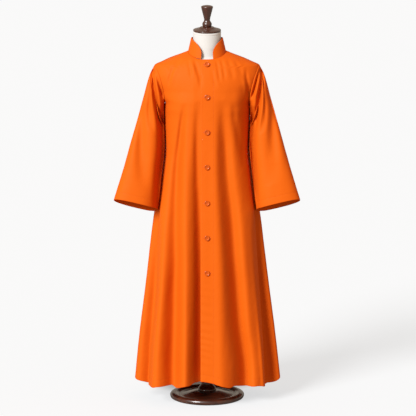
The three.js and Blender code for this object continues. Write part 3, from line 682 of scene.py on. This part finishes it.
# the two long creases that fall from each shoulder tip, as in the chest
LEFT_LONG_CREASE = [
    (232, 1460), (230, 1400), (227, 1362), (223, 1320), (218, 1278), (211, 1236), (205, 1194), (200, 1150),
]
RIGHT_LONG_CREASE = [
    (-229, 1480), (-228, 1400), (-226, 1362), (-221, 1320), (-213, 1278), (-205, 1236), (-197, 1194),
    (-192, 1150),
]
SLEEVE_CREASES = {
    1: [
        ([(220, 1440), (211, 1395), (200, 1350), (191, 1318), (187, 1296)], 24, 6, 0.1),
        (LEFT_LONG_CREASE, 27, 8.5, 0.1),
    ],
    -1: [
        (RIGHT_LONG_CREASE, 25, 9, 0.1),
        ([(-214, 1446), (-208, 1395), (-200, 1362), (-189, 1325), (-183, 1296)], 20, 6, 0.1),
    ],
}


def armhole_point(angle):
    """A point of the armhole seam: 0 is the shoulder tip, 90 the front and 180 the underarm."""
    middle = (SHOULDER_TIP_HEIGHT + UNDERARM_HEIGHT) / 2
    height = middle + (SHOULDER_TIP_HEIGHT - UNDERARM_HEIGHT) / 2 * np.cos(np.radians(angle))
    side = armhole_angle(height)
    return body_surface(np.where(np.sin(np.radians(angle)) >= 0, side, 180 - side), height)


def station_point(station, angle):
    """A point of the rounded oblong round the sleeve at one of its stations."""
    _, outer_x, outer_z, inner_x, inner_z, centre_y, half_depth, tip = station
    outer, inner = np.array([outer_x, centre_y, outer_z]), np.array([inner_x, centre_y, inner_z])
    to_front = half_depth * np.array([0, -math.cos(math.radians(tip)), math.sin(math.radians(tip))])
    cosine, sine = np.cos(np.radians(angle)), np.sin(np.radians(angle))
    flatten = 2 / SLEEVE_SQUARENESS
    out = (np.sign(cosine) * abs(cosine) ** flatten)[:, None]
    ahead = (np.sign(sine) * abs(sine) ** flatten)[:, None]
    behind = INNER_EDGE_BEHIND * min(1, station[0] / 135) * ((1 - out) / 2) ** 6
    middle, half = (outer + inner) / 2, (outer - inner) / 2
    return middle + out * half + ahead * to_front + behind * np.array([0, 1, 0])


def sleeve_fold(angle, along):
    total = np.zeros(np.broadcast(angle, along).shape)
    for start, end, start_angle, end_angle, depth, width in SLEEVE_FOLDS:
        share = (along - start) / (end - start)
        swell = np.sin(np.pi * np.clip(share, 0, 1)) ** 0.8
        total = total + depth * swell * bell(turn_between(angle, mix(start_angle, end_angle, share)) / width)
    return total


def sleeve(name, side):
    # The grid starts and ends at the underarm seam, and its rows climb from the cuff to the armhole.
    angle = 180 - np.linspace(0, 360, SLEEVE_COLUMNS + 1)[:-1]
    cuff_rows = CUFF - np.array([0, 0.7, 1.8, 4, 9, 16, 23, 28.4, CUFF_HEM, 31.6, 35])
    along = np.concatenate([cuff_rows, np.linspace(CUFF - 40, 8, 118), [4, 2, 0.8, 0]])
    table = [armhole_point(angle), *(station_point(station, angle) for station in SLEEVE_STATIONS)]
    ends = np.array([0, *(station[0] for station in SLEEVE_STATIONS)])
    shape = smooth_curve(np.hstack([ends[:, None], np.array(table).reshape(len(ends), -1)]))
    points = shape(along).reshape(len(along), len(angle), 3)
    normals = grid_normals(points, wraps=True)
    points = points + normals * sleeve_fold(angle[None], along[:, None])[..., None]
    if side < 0:
        points = points[:, ::-1] * (-1, 1, 1)
    normals = grid_normals(points, wraps=True)
    along = np.broadcast_to(along[:, None], points.shape[:-1])
    x, height = points[..., 0], points[..., 2]
    back_by = sum(front_fold(x, height, rows) for rows in SLEEVE_FRONT_FOLDS[side])
    points[..., 1] += facing(normals, -1) * smoothstep(along, 6, 60) * back_by
    ahead = facing(grid_normals(points, wraps=True), -1)
    pressed = sum(crease(points, ahead, *row, fade=(0.12, 0.25)) for row in SLEEVE_CREASES[side])
    points[..., 1] += smoothstep(along, 3, 20) * pressed
    normals = grid_normals(points, wraps=True)
    seed = 10 + side
    depth = 0.7 * ripples(points, 80, 260, seed) + 0.2 * ripples(points, 40, 60, seed + 5)
    depth = depth + 0.4 * bell((along - CUFF + CUFF_HEM) / 1.6) + 0.5 * bell((CUFF - along) / 1.6)
    # the seam draws the cloth in all round but at the underarm, where the sleeve swells against the body
    seam_roll = bell(along / 2.2) * (0.7 - 1.3 * bell(turn_between(angle, 180) / 30))
    depth = smoothstep(along, 0, 14) * depth + seam_roll
    points = points - normals * depth[..., None]
    normals = grid_normals(points, wraps=True)
    normals[-4:] = normals[-5]  # the seam comes to a point at the underarm
    wall = CLOTH + TURNING * smoothstep(along, CUFF - CUFF_HEM - 2, CUFF - CUFF_HEM + 1)
    return cloth_piece(name, points, normals, wall, cassock_cloth, wraps=True), points, normals


sleeves = {}
for side, word in ((1, "left"), (-1, "right")):
    piece, *sleeves[side] = sleeve(f"sleeve_{word}_cloth", side)
    fit(piece, "cassock_cloth", f"sleeve_{word}")

# ---------------------------------------------------------------- collar
# A stand collar of doubled and interfaced twill, with rounded ends that stop either side of the centre
# front. It is sewn on at the neckline, leans in to the neck, and is topstitched 4 mm from its edge.
COLLAR_WALL = 2.4
COLLAR_FULL_HEIGHT, COLLAR_TOP_REACH = 1558, 67
COLLAR_EDGE = smooth_curve(
    [(18.5, 1500), (21, 1510), (26, 1521), (40, 1537), (61, 1549), (78, 1556.5), (180, COLLAR_FULL_HEIGHT)]
)
COLLAR_GAP = 18.5
COLLAR_STITCH = 4


def collar_face(angle, share):
    """The collar's outer face by degrees round the neck and the share of its height there."""
    turn = abs(turn_between(angle, 0))
    reach = NECK_POINT_REACH * np.sin(np.radians(turn))
    low = neckline_height(reach)
    front_foot = body_surface(angle_at(reach, low), low)
    rear_height = np.full_like(reach, NECK_POINT_HEIGHT)
    rear_foot = body_surface(180 - angle_at(reach, rear_height), rear_height)
    foot = np.where((turn < 90)[..., None], front_foot, rear_foot) - (0, 0, 0.5)
    crown = np.stack([np.sin(np.radians(turn)), -np.cos(np.radians(turn)), 0 * turn], -1) * COLLAR_TOP_REACH
    crown[..., 2] = COLLAR_FULL_HEIGHT
    height = mix(foot[..., 2], COLLAR_EDGE(turn)[..., 0], share)
    lean = (height - foot[..., 2]) / (COLLAR_FULL_HEIGHT - foot[..., 2])
    points = mix(foot, crown, lean[..., None])
    points[..., 0] *= np.where(turn_between(angle, 0) < 0, -1, 1)
    return points


eased = np.sin(np.linspace(-1, 1, 181) * math.pi / 2)
angle = 180 + (180 - COLLAR_GAP) * eased
share = np.array([0, 0.01, 0.03, 0.07, *np.linspace(0.12, 0.9, 22), 0.94, 0.97, 0.988, 1])
points = collar_face(angle[None] + 0 * share[:, None], share[:, None] + 0 * angle[None])
collar_normals = grid_normals(points)
right_end, left_end, from_foot, from_top = edge_distances(points)
free_edge = np.minimum(from_top, np.minimum(right_end, left_end))
depth = rolled([from_top, right_end, left_end], 0.7, 1.4) + rolled([from_foot], 0.15, 1.6)
depth = depth + 0.35 * bell((free_edge - COLLAR_STITCH) / 1.1) + 0.2 * ripples(points, 60, 60, 21)
collar_points = points - collar_normals * depth[..., None]
collar_wall = np.full(depth.shape, COLLAR_WALL) - 1.1 * bell(free_edge / 1.3)
collar = cloth_piece("collar_cloth", collar_points, collar_normals, collar_wall, cassock_cloth)
fit(collar, "cassock_cloth", "collar")

# ---------------------------------------------------------------- stitching
# Tone-on-tone thread, three stitches to the centimetre: down the front edge and its facing, round the
# hem, the cuffs and the collar. Each stitch is a short rounded length of thread along its seam.
# pitch, length, width
SEAM_STITCH = (3.2, 2.5, 0.42)

thread_material, tree, shader, where = new_material("orange thread", Roughness=0.5)
dyed = tinted(tree, cloudy(tree, where, 2200.0, 1.0), (0.76, 0.075, 0.004, 1), (0.92, 0.115, 0.008, 1))
tree.links.new(dyed, shader.inputs["Base Color"])

# The tree follows each line of its mesh and lays one stitch at every pitch, turned by the line's own
# attribute "lie".
stitch_tree = bpy.data.node_groups.new("stitches", "GeometryNodeTree")
interface = stitch_tree.interface
interface.new_socket(name="Geometry", in_out="INPUT", socket_type="NodeSocketGeometry")
sockets = {
    name: interface.new_socket(name=name, in_out="INPUT", socket_type=NUMBER).identifier
    for name in ("Pitch", "Length", "Width")
}
interface.new_socket(name="Geometry", in_out="OUTPUT", socket_type="NodeSocketGeometry")
given = stitch_tree.nodes.new("NodeGroupInput").outputs


def stitch_node(kind, inputs, **settings):
    return node(stitch_tree, kind, inputs, **settings).outputs[0]


line = stitch_node("GeometryNodeMeshToCurve", {"Mesh": given["Geometry"]})
paced = stitch_node("GeometryNodeResampleCurve", {"Curve": line, "Length": given["Pitch"]}, mode="LENGTH")
bead = stitch_node("GeometryNodeMeshUVSphere", {"Segments": 6, "Rings": 4, "Radius": 0.5})
girth = stitch_node("ShaderNodeCombineXYZ", {0: given["Width"], 1: given["Width"], 2: given["Length"]})
strand = stitch_node("GeometryNodeTransform", {"Geometry": bead, "Scale": girth})
lie = stitch_node("GeometryNodeInputNamedAttribute", {"Name": "lie"}, data_type="FLOAT_VECTOR")
turned_to = stitch_node("FunctionNodeAlignRotationToVector", {"Vector": lie}, axis="Z")
one_at_each = {"Points": paced, "Instance": strand, "Rotation": turned_to}
laid = stitch_node("GeometryNodeInstanceOnPoints", one_at_each)
real = stitch_node("GeometryNodeRealizeInstances", {"Geometry": laid})
dyed = stitch_node("GeometryNodeSetMaterial", {"Geometry": real, "Material": thread_material})
stitch_tree.links.new(dyed, stitch_tree.nodes.new("NodeGroupOutput").inputs[0])


def stitched(name, lines, pitch, length, width):
    """Stitches along lines, each a pair of arrays: its points and the way each stitch lies there."""
    points = np.concatenate([line for line, _ in lines]) * MM
    edges, start = [], 0
    for line, _ in lines:
        edges += [(i, i + 1) for i in range(start, start + len(line) - 1)]
        start += len(line)
    mesh = bpy.data.meshes.new(name)
    mesh.from_pydata(points.tolist(), edges, [])
    lay = np.concatenate([lay for _, lay in lines])
    mesh.attributes.new("lie", "FLOAT_VECTOR", "POINT").data.foreach_set("vector", lay.ravel())
    guide = add_object(name, mesh)
    modifier = guide.modifiers.new("stitches", "NODES")
    modifier.node_group = stitch_tree
    for socket, value in (("Pitch", pitch), ("Length", length), ("Width", width)):
        modifier[sockets[socket]] = value * MM
    evaluated = guide.evaluated_get(bpy.context.evaluated_depsgraph_get())
    made = bpy.data.meshes.new_from_object(evaluated)
    bpy.data.objects.remove(guide)
    made.shade_smooth()
    fit(add_object(name, made), "cassock_cloth")


def seam_line(face, normals, *places):
    """A line of stitches just proud of the cloth at these places of a grid, each lying along the line."""
    points, out = face[places], normals[places]
    lay = np.gradient(points, axis=0)
    return points + 0.12 * out, lay / np.linalg.norm(lay, axis=1, keepdims=True)


CUFF_ROW, COLLAR_BACK = 8, 90  # the row of the cuff's stitching, and the column behind the neck
topmost = LEVELS.size - 2
seams = [
    seam_line(left_face, left_normals, slice(HEM_ROW, topmost), EDGE_STITCH_COLUMN),
    seam_line(left_face, left_normals, slice(2, topmost), FACING_STITCH_COLUMN),
    seam_line(left_face, left_normals, HEM_ROW, slice(4, -2)),
    seam_line(right_face, right_normals, HEM_ROW, slice(2, -24)),
    seam_line(back_face, back_normals, HEM_ROW, slice(2, -2)),
]
for face, normals in sleeves.values():
    seams.append(seam_line(face, normals, CUFF_ROW, [*range(SLEEVE_COLUMNS), 0]))
from_top = edge_distances(collar_points)[3]
collar_row = int(np.argmin(abs(from_top - COLLAR_STITCH)[:, COLLAR_BACK]))
seams.append(seam_line(collar_points, collar_normals, collar_row, slice(4, -4)))
stitched("seam_stitching", seams, *SEAM_STITCH)

# ---------------------------------------------------------------- buttons and buttonholes
# Seven 23 mm polyester buttons dyed to match, with a raised rim, a dished middle and four holes, sewn
# through the left front's worked horizontal buttonholes with orange thread.
BUTTON_HEIGHTS = [1450.5, 1317.5, 1171, 1025.5, 875, 728.5, 580.5]
# radius, height above the cloth
BUTTON_FACE = [(0, 3.6), (3.4, 3.3), (5.4, 3.6), (7.0, 5.3), (8.4, 6.6), (9.8, 6.6), (11.0, 5.2), (11.5, 3.4)]
BUTTON_UNDERSIDE = [(11.2, 2.0), (9.8, 1.2), (4, 1.2), (4, 0.2)]
HOLE_REACH, HOLE_RADIUS, HOLE_DEPTH = 2.5, 0.95, 1.8
STRAND_RADIUS, STRAND_FOOT, STRAND_RISE = 0.42, 2.6, 1.55
BUTTON_CLEAR = 0.3  # between a button and the cloth
BUTTONHOLE_HALF, BUTTONHOLE_HALF_OPEN = 16.5, 1.5
BUTTONHOLE_STITCH = (0.75, 2.6, 0.7)

button_plastic, tree, shader, where = new_material(
    "orange button", Specular_IOR_Level=0.3, Coat_Weight=0.35, Coat_Roughness=0.12
)
cloud = cloudy(tree, where, 160.0, 2.0)
dyed = tinted(tree, cloud, (0.66, 0.078, 0.003, 1), (0.78, 0.105, 0.005, 1))
tree.links.new(dyed, shader.inputs["Base Color"])
rubbed = node(tree, "ShaderNodeMapRange", {0: cloud, 3: 0.2, 4: 0.3})
tree.links.new(rubbed.outputs[0], shader.inputs["Roughness"])


def stack_piece(name, rings, material):
    """A closed body from a stack of rings that turn anticlockwise seen from above, with flat ends."""
    rows, columns = rings.shape[:2]
    points = np.concatenate([rings.reshape(-1, 3), rings[0].mean(0)[None], rings[-1].mean(0)[None]])
    place = np.arange(rows * columns).reshape(rows, columns)
    following = np.roll(place, -1, 1)
    sides = np.stack([place[:-1], following[:-1], following[1:], place[1:]], -1).reshape(-1, 4)
    foot, top = rows * columns, rows * columns + 1
    ends = [[foot, b, a] for a, b in zip(place[0].tolist(), following[0].tolist())]
    ends += [[top, a, b] for a, b in zip(place[-1].tolist(), following[-1].tolist())]
    return smooth_piece(name, points, sides.tolist() + ends, material)


def circle_rings(profile, segments):
    """Rings round +Z from radius and height pairs that climb."""
    turn = np.linspace(0, math.tau, segments, endpoint=False)
    radius, height = np.array(profile, float).T[:, :, None]
    return np.stack([radius * np.cos(turn), radius * np.sin(turn), height + 0 * turn], -1)


def set_on_front(points, height):
    """Places points, given round +Z, on the left front at this height, with +Z along its normal. Also
    returns the ways across and up the cloth, and its normal."""
    angle = angle_at(np.zeros((3, 3)), np.full((3, 3), float(height)))
    steps = np.array([-1.0, 0, 1])
    patch = body_surface(angle + 0.6 * steps[None], height + 2 * steps[:, None] + 0 * angle)
    normal = grid_normals(patch)[1, 1]
    across = np.array([1.0, 0, 0]) - normal * normal[0]
    across = across / np.linalg.norm(across)
    up = np.cross(normal, across)
    placed = patch[1, 1] + points[..., :1] * across + points[..., 1:2] * up + points[..., 2:] * normal
    return placed, (across, up, normal)


hole_places = HOLE_REACH / math.sqrt(2) * np.array([(-1, -1), (-1, 1), (1, 1), (1, -1)])
# the rings of the face, closest together round the holes and at the rim
FACE_RADII = np.array([
    0.35, 0.8, 1.3, 1.7, 2.1, 2.5, 2.9, 3.3, 3.7, 4.2, 4.8, 5.4, 6.1, 7.0, 7.7, 8.4, 9.1, 9.8, 10.4, 11.0,
    11.35, 11.5,
])
face_height = smooth_curve(BUTTON_FACE)(FACE_RADII)[:, 0]
profile = [*reversed(BUTTON_UNDERSIDE), *zip(FACE_RADII[::-1], face_height[::-1])]
button_rings = circle_rings(profile, 56)
is_face = np.arange(len(profile))[:, None] >= len(BUTTON_UNDERSIDE)
for hole in hole_places:
    away = np.linalg.norm(button_rings[..., :2] - hole, axis=-1)
    outside = smoothstep(away, 0.6 * HOLE_RADIUS, 1.15 * HOLE_RADIUS)
    button_rings[..., 2] -= is_face * HOLE_DEPTH * (1 - outside)


def thread_bar(start, end, rise):
    """Rings of a strand of thread that arches from one hole of a button to another."""
    t = np.linspace(0, 1, 9)[:, None]
    path = mix(np.array([*start, STRAND_FOOT]), np.array([*end, STRAND_FOOT]), t)
    path[:, 2] += rise * np.sin(np.pi * t[:, 0]) ** 0.6
    along = np.gradient(path, axis=0)
    along /= np.linalg.norm(along, axis=1, keepdims=True)
    side = np.cross(along, [0, 0, 1])
    side /= np.linalg.norm(side, axis=1, keepdims=True)
    lift = np.cross(side, along)
    turn = np.linspace(0, math.tau, 8, endpoint=False)[None, :, None]
    return path[:, None] + STRAND_RADIUS * (np.cos(turn) * side[:, None] + np.sin(turn) * lift[:, None])


buttonholes = []
for number, height in enumerate(BUTTON_HEIGHTS, 1):
    placed, (across, up, normal) = set_on_front(button_rings, height)
    clear = BUTTON_CLEAR * normal
    button = stack_piece(f"button_{number}_dished", placed + clear, button_plastic)
    fit(button, "button_plastic", f"button_{number}")
    for strand, (start, end) in enumerate(((0, 2), (1, 3))):
        rise = STRAND_RISE + 0.5 * strand
        bar, _ = set_on_front(thread_bar(hole_places[start], hole_places[end], rise), height)
        thread = stack_piece(f"button_{number}_thread_{strand + 1}", bar + clear, thread_material)
        fit(thread, "cassock_cloth")
    turn = np.linspace(0, math.tau, 73)
    x, z = BUTTONHOLE_HALF * np.cos(turn), height + BUTTONHOLE_HALF_OPEN * np.sin(turn)
    surface = body_surface(angle_at(x, z), z)
    outwards = np.cos(turn)[:, None] ** 5 * across + np.sin(turn)[:, None] * up
    outwards = outwards / np.linalg.norm(outwards, axis=1, keepdims=True)
    buttonholes.append((surface + 0.25 * normal, outwards))
stitched("buttonhole_stitching", buttonholes, *BUTTONHOLE_STITCH)

# ---------------------------------------------------------------- dress form
# A limbless form of papier mache covered in cream jersey, drawn smooth over the torso and the neck, with
# the jersey's top edge turned under a narrow binding below the neck cap.
NECK_RADIUS, NECK_TOP_HEIGHT, NECK_TILT, NECK_BLEND = 59, 1583, 7, 5
ARM_PLATE_REACH = 172
HIDDEN_INSET = 3.5  # the covered shoulders are this much slimmer, which leaves room for creases
UNDER_CLOTH = 2.2  # the cloth's wall and the room between it and the form
# height, half width, front, back
TORSO_SECTIONS = smooth_curve([
    (800, 152, 102, 108), (812, 160, 110, 116), (900, 158, 110, 115), (980, 146, 104, 104),
    (1060, 132, 97, 92), (1140, 140, 106, 98), (1220, 154, 122, 112), (1283, 163, 128, 121),
    (1330, 170, 125, 124),
])
FORM_TURNS = np.linspace(0, 360, 145)[:-1]

form_jersey = cloth_material(
    "cream jersey", ((0.85, 0.79, 0.73, 1), (0.91, 0.865, 0.815, 1)), (620, 0), (310, 520), 0.5,
    relief=0.00008, creasing=0.0002, Roughness=0.85, Sheen_Weight=0.2,
)


def torso_ring(height):
    half_width, front, back = TORSO_SECTIONS(height)
    cosine = np.cos(np.radians(FORM_TURNS))
    y = -np.where(cosine > 0, front, back) * cosine
    return np.stack([half_width * np.sin(np.radians(FORM_TURNS)), y, height + 0 * y], -1)


def shoulder_ring(cloth_height):
    """The form inside the cloth at this height: slimmer all round, cut off flat at the arms, and never
    slimmer than the neck."""
    ring = body_surface(FORM_TURNS, np.full_like(FORM_TURNS, cloth_height))
    x, y = ring[:, 0], ring[:, 1]
    length = np.hypot(x, y)
    below = 5 * smoothstep(SHOULDER_TIP_HEIGHT - cloth_height, 0, 60)
    at_neck = 4 * smoothstep(cloth_height, NECK_POINT_HEIGHT - 25, NECK_POINT_HEIGHT)
    under_lap = np.where(y < 0, 4 * (1 - smoothstep(abs(x), 45, 95)), 0)
    beyond = length - (UNDER_CLOTH + HIDDEN_INSET + below + at_neck + under_lap) - NECK_RADIUS
    scale = (NECK_RADIUS + (beyond + np.hypot(beyond, NECK_BLEND)) / 2) / length
    x = np.clip(x * scale, -ARM_PLATE_REACH, ARM_PLATE_REACH)
    return np.stack([x, y * scale, 0 * x + cloth_height - 3 - HIDDEN_INSET], -1)


def neck_ring(height, radius, tilt):
    x, y = radius * np.sin(np.radians(FORM_TURNS)), -radius * np.cos(np.radians(FORM_TURNS))
    return np.stack([x, y, height + y * math.tan(math.radians(tilt))], -1)


# height, radius, tilt
NECK = smooth_curve([
    (1518, 59.5, 0), (1550, NECK_RADIUS, NECK_TILT / 2), (1574, NECK_RADIUS, NECK_TILT),
    (NECK_TOP_HEIGHT, NECK_RADIUS, NECK_TILT),
])
BINDING_HEIGHT = 1573.6
rings = [torso_ring(height) for height in (800, 802, 806, *np.linspace(812, 1330, 40))]
rings += [shoulder_ring(height) for height in np.linspace(1385, NECK_POINT_HEIGHT, 24)]
for height in (*np.linspace(1512, 1570, 20), *np.linspace(1571, 1583, 17)):
    radius, tilt = NECK(height)
    groove = 0.9 * bell((height - BINDING_HEIGHT) / 0.9) + 2.6 * smoothstep(height, 1581, 1583)
    rings.append(neck_ring(height, radius + 0.35 * smoothstep(height, 1573, 1575) - groove, tilt))
rings = np.array(rings)
form = stack_piece("form_body_jersey", rings, form_jersey)
closed = np.concatenate([rings, rings[:, :1]], 1)
lay = np.stack([run_lengths(closed, 1), run_lengths(closed, 0)], -1) * MM
uv = form.data.uv_layers.new(name="lay").data
rows, columns = rings.shape[:2]
place = np.arange(rows * (columns + 1)).reshape(rows, columns + 1)
corners = np.stack([place[:-1, :-1], place[:-1, 1:], place[1:, 1:], place[1:, :-1]], -1).reshape(-1)
flat = np.zeros((len(uv), 2))
flat[: len(corners)] = lay.reshape(-1, 2)[corners]
uv.foreach_set("uv", flat.ravel())
fit(form, "form_jersey", "form_body")

# ---------------------------------------------------------------- neck cap, finial, pole and base
# Turned hardwood, stained dark red-brown and varnished to a gloss: the cap and its finial lean forward
# with the top of the neck, and the pole stands in a round moulded base.
# each profile, from its foot up: radius, height
NECK_CAP = [
    (56.5, 0), (58.6, 0.8), (59, 2.5), (59, 6), (58, 7.3), (54, 8.7), (48, 10.2), (44, 11.5), (38.5, 12.2),
    (37, 13), (36.6, 14), (34.5, 14.2), (32.8, 15.2), (31, 17), (28, 18.7), (20, 19.5), (2, 19.5),
]
FINIAL = [
    (17.5, 0), (19.5, 4), (20.8, 11), (19.5, 16), (15, 22), (12.6, 27), (13, 32), (16, 45), (21, 64),
    (25, 80), (26, 84), (24, 87), (14, 90), (4, 91), (1, 91),
]
POLE = [
    (38, 0), (40, 6), (37, 14), (30, 22), (25, 34), (27, 42), (24, 50), (18, 60), (17, 90), (17, 679.4),
    (18, 729.4), (26, 739.4), (30, 749.4), (44, 757.4), (46, 769.4),
]
BASE = [
    (150, 0), (157, 3), (160, 9), (160.5, 15), (157, 21), (149, 24.5), (139, 25), (129, 22), (122, 16.5),
    (113, 15), (92, 19), (66, 26), (48, 30), (2, 30),
]

# Grain of stained hardwood: long streaks of stain with finer pores between them.
grain, given, put_out = node_group("wood grain", {"Place": PLACE}, {"Colour": COLOUR, "Figure": NUMBER})
streaks = cloudy(grain, given["Place"], 1.0, 6.0, Roughness=0.62, Distortion=0.8)
figure = scaled_sum(grain, cloudy(grain, given["Place"], 7.0, 2.0), 0.35, streaks)
contrast = node(grain, "ShaderNodeMapRange", {0: figure, 1: 0.45, 2: 0.95}).outputs[0]
stain = tinted(grain, contrast, (0.018, 0.0042, 0.0022, 1), (0.105, 0.026, 0.011, 1))
grain.links.new(stain, put_out["Colour"])
grain.links.new(contrast, put_out["Figure"])


def varnished_wood(name, run):
    """Stained wood under a gloss varnish; run stretches the grain along the way the wood was cut."""
    material, tree, shader, where = new_material(name, Coat_Weight=1.0, Coat_Roughness=0.12)
    along = node(tree, "ShaderNodeMapping", {"Vector": where, "Scale": run})
    wood = node(tree, "ShaderNodeGroup", node_tree=grain)
    tree.links.new(along.outputs[0], wood.inputs["Place"])
    tree.links.new(wood.outputs["Colour"], shader.inputs["Base Color"])
    sunk = node(tree, "ShaderNodeMapRange", {0: wood.outputs["Figure"], 3: 0.42, 4: 0.28})
    tree.links.new(sunk.outputs[0], shader.inputs["Roughness"])
    relief = raised(tree, wood.outputs["Figure"], 0.0001, Strength=0.5)
    tree.links.new(relief, shader.inputs["Normal"])
    return material


spindle_wood = varnished_wood("spindle wood", (90, 90, 9))
disc_wood = varnished_wood("disc wood", (8, 80, 80))


def rounded(profile, times=2):
    """Cuts each corner of a profile, as a turner's gouge leaves it, and keeps its two ends."""
    points = np.array(profile, float)
    for _ in range(times):
        near, far = mix(points[:-1], points[1:], 0.22), mix(points[:-1], points[1:], 0.78)
        points = np.concatenate([points[:1], np.stack([near, far], 1).reshape(-1, 2), points[-1:]])
    return points


def turned_piece(name, cad_node, profile, segments, foot, tilt, material):
    """A turned piece that stands on the floor, or leans with the neck where it has a tilt. Foot is how
    high above the floor, or above the top of the neck, its own foot lies."""
    rings = circle_rings(rounded(profile), segments)
    rings[..., 2] += foot
    lean = math.radians(tilt)
    y, z = rings[..., 1].copy(), rings[..., 2].copy()
    rings[..., 1] = y * math.cos(lean) - z * math.sin(lean)
    rings[..., 2] = y * math.sin(lean) + z * math.cos(lean) + (NECK_TOP_HEIGHT if tilt else 0)
    fit(stack_piece(name, rings, material), "dark_wood", cad_node)


turned_piece("neck_cap_turned", "neck_cap", NECK_CAP, 96, 0.3, NECK_TILT, disc_wood)
turned_piece("finial_turned", "finial", FINIAL, 72, 20.1, NECK_TILT, spindle_wood)
turned_piece("pole_turned", "pole", POLE, 64, 30.3, 0, spindle_wood)
turned_piece("base_turned", "base", BASE, 128, 0, 0, disc_wood)

# ---------------------------------------------------------------- studio
# A plain pale floor under a pale surround, a broad soft key light on the left of the camera, thirty
# degrees up, and weak warm light from all round.
FLOOR_SIZE = 60
FLOOR_SEEN, FLOOR_BOUNCE = (0.466, 0.475, 0.484, 1), (0.35, 0.335, 0.31, 1)
FLOOR_LIFT = 1.17
# painted shade: behind the base the floor's glow fades out in a soft disc, where the skirt's shadow falls, so
# the floor shows darker there
PAINTED_SHADE_PLACE, PAINTED_SHADE_CORE, PAINTED_SHADE_REACH = (-0.03, 0.33, 0), 0.11, 0.27
mesh = bpy.data.meshes.new("floor")
half = FLOOR_SIZE / 2
mesh.from_pydata([(-half, -half, 0), (half, -half, 0), (half, half, 0), (-half, half, 0)], [], [(0, 1, 2, 3)])
floor = add_object("floor", mesh)
floor_paint, tree, shader, where = new_material(
    "pale floor", Emission_Color=FLOOR_SEEN, Roughness=0.9, Specular_IOR_Level=0
)
seen = node(tree, "ShaderNodeLightPath").outputs["Is Camera Ray"]
tree.links.new(tinted(tree, seen, FLOOR_BOUNCE, FLOOR_SEEN), shader.inputs["Base Color"])
# painted shade: the glow that the camera sees fades to nothing towards the middle of this disc
away = node(tree, "ShaderNodeVectorMath", {0: where, 1: PAINTED_SHADE_PLACE}, operation="DISTANCE").outputs["Value"]
clear = node(tree, "ShaderNodeMapRange", {0: away, 1: PAINTED_SHADE_CORE, 2: PAINTED_SHADE_REACH, 4: FLOOR_LIFT}).outputs[0]
tree.links.new(product(tree, seen, clear), shader.inputs["Emission Strength"])
mesh.materials.append(floor_paint)

KEY_AZIMUTH, KEY_ELEVATION, KEY_SPREAD, KEY_STRENGTH = 37, 30, 24, 3.25
lamp = bpy.data.lights.new("key", "SUN")
lamp.energy, lamp.angle = KEY_STRENGTH, math.radians(KEY_SPREAD)
key = add_object("key", lamp)
key.rotation_euler = (math.radians(90 - KEY_ELEVATION), 0, math.radians(-KEY_AZIMUTH))

world = bpy.data.worlds.new("studio")
bpy.context.scene.world = world
world.use_nodes = True
tree = world.node_tree
tree.nodes.clear()
seen = node(tree, "ShaderNodeLightPath").outputs["Is Camera Ray"]
around = node(tree, "ShaderNodeBackground", {"Color": (1.0, 0.84, 0.68, 1), "Strength": 0.31})
backdrop = node(tree, "ShaderNodeBackground", {"Color": (0.934, 0.923, 0.897, 1), "Strength": 1.0})
chosen = node(tree, "ShaderNodeMixShader", {0: seen, 1: around.outputs[0], 2: backdrop.outputs[0]})
out = node(tree, "ShaderNodeOutputWorld", {0: chosen.outputs[0]})

# The film's response rolls off softly towards white.
FILM_SPEED = 0.8
settings = bpy.context.scene.view_settings
settings.view_transform = "Standard"
settings.use_curve_mapping = True
response = settings.curve_mapping.curves[3]
for level in (0.05, 0.1, 0.18, 0.28, 0.4, 0.55, 0.7, 0.85):
    response.points.new(level, (1 - math.exp(-FILM_SPEED * level)) / (1 - math.exp(-FILM_SPEED)))
settings.curve_mapping.update()
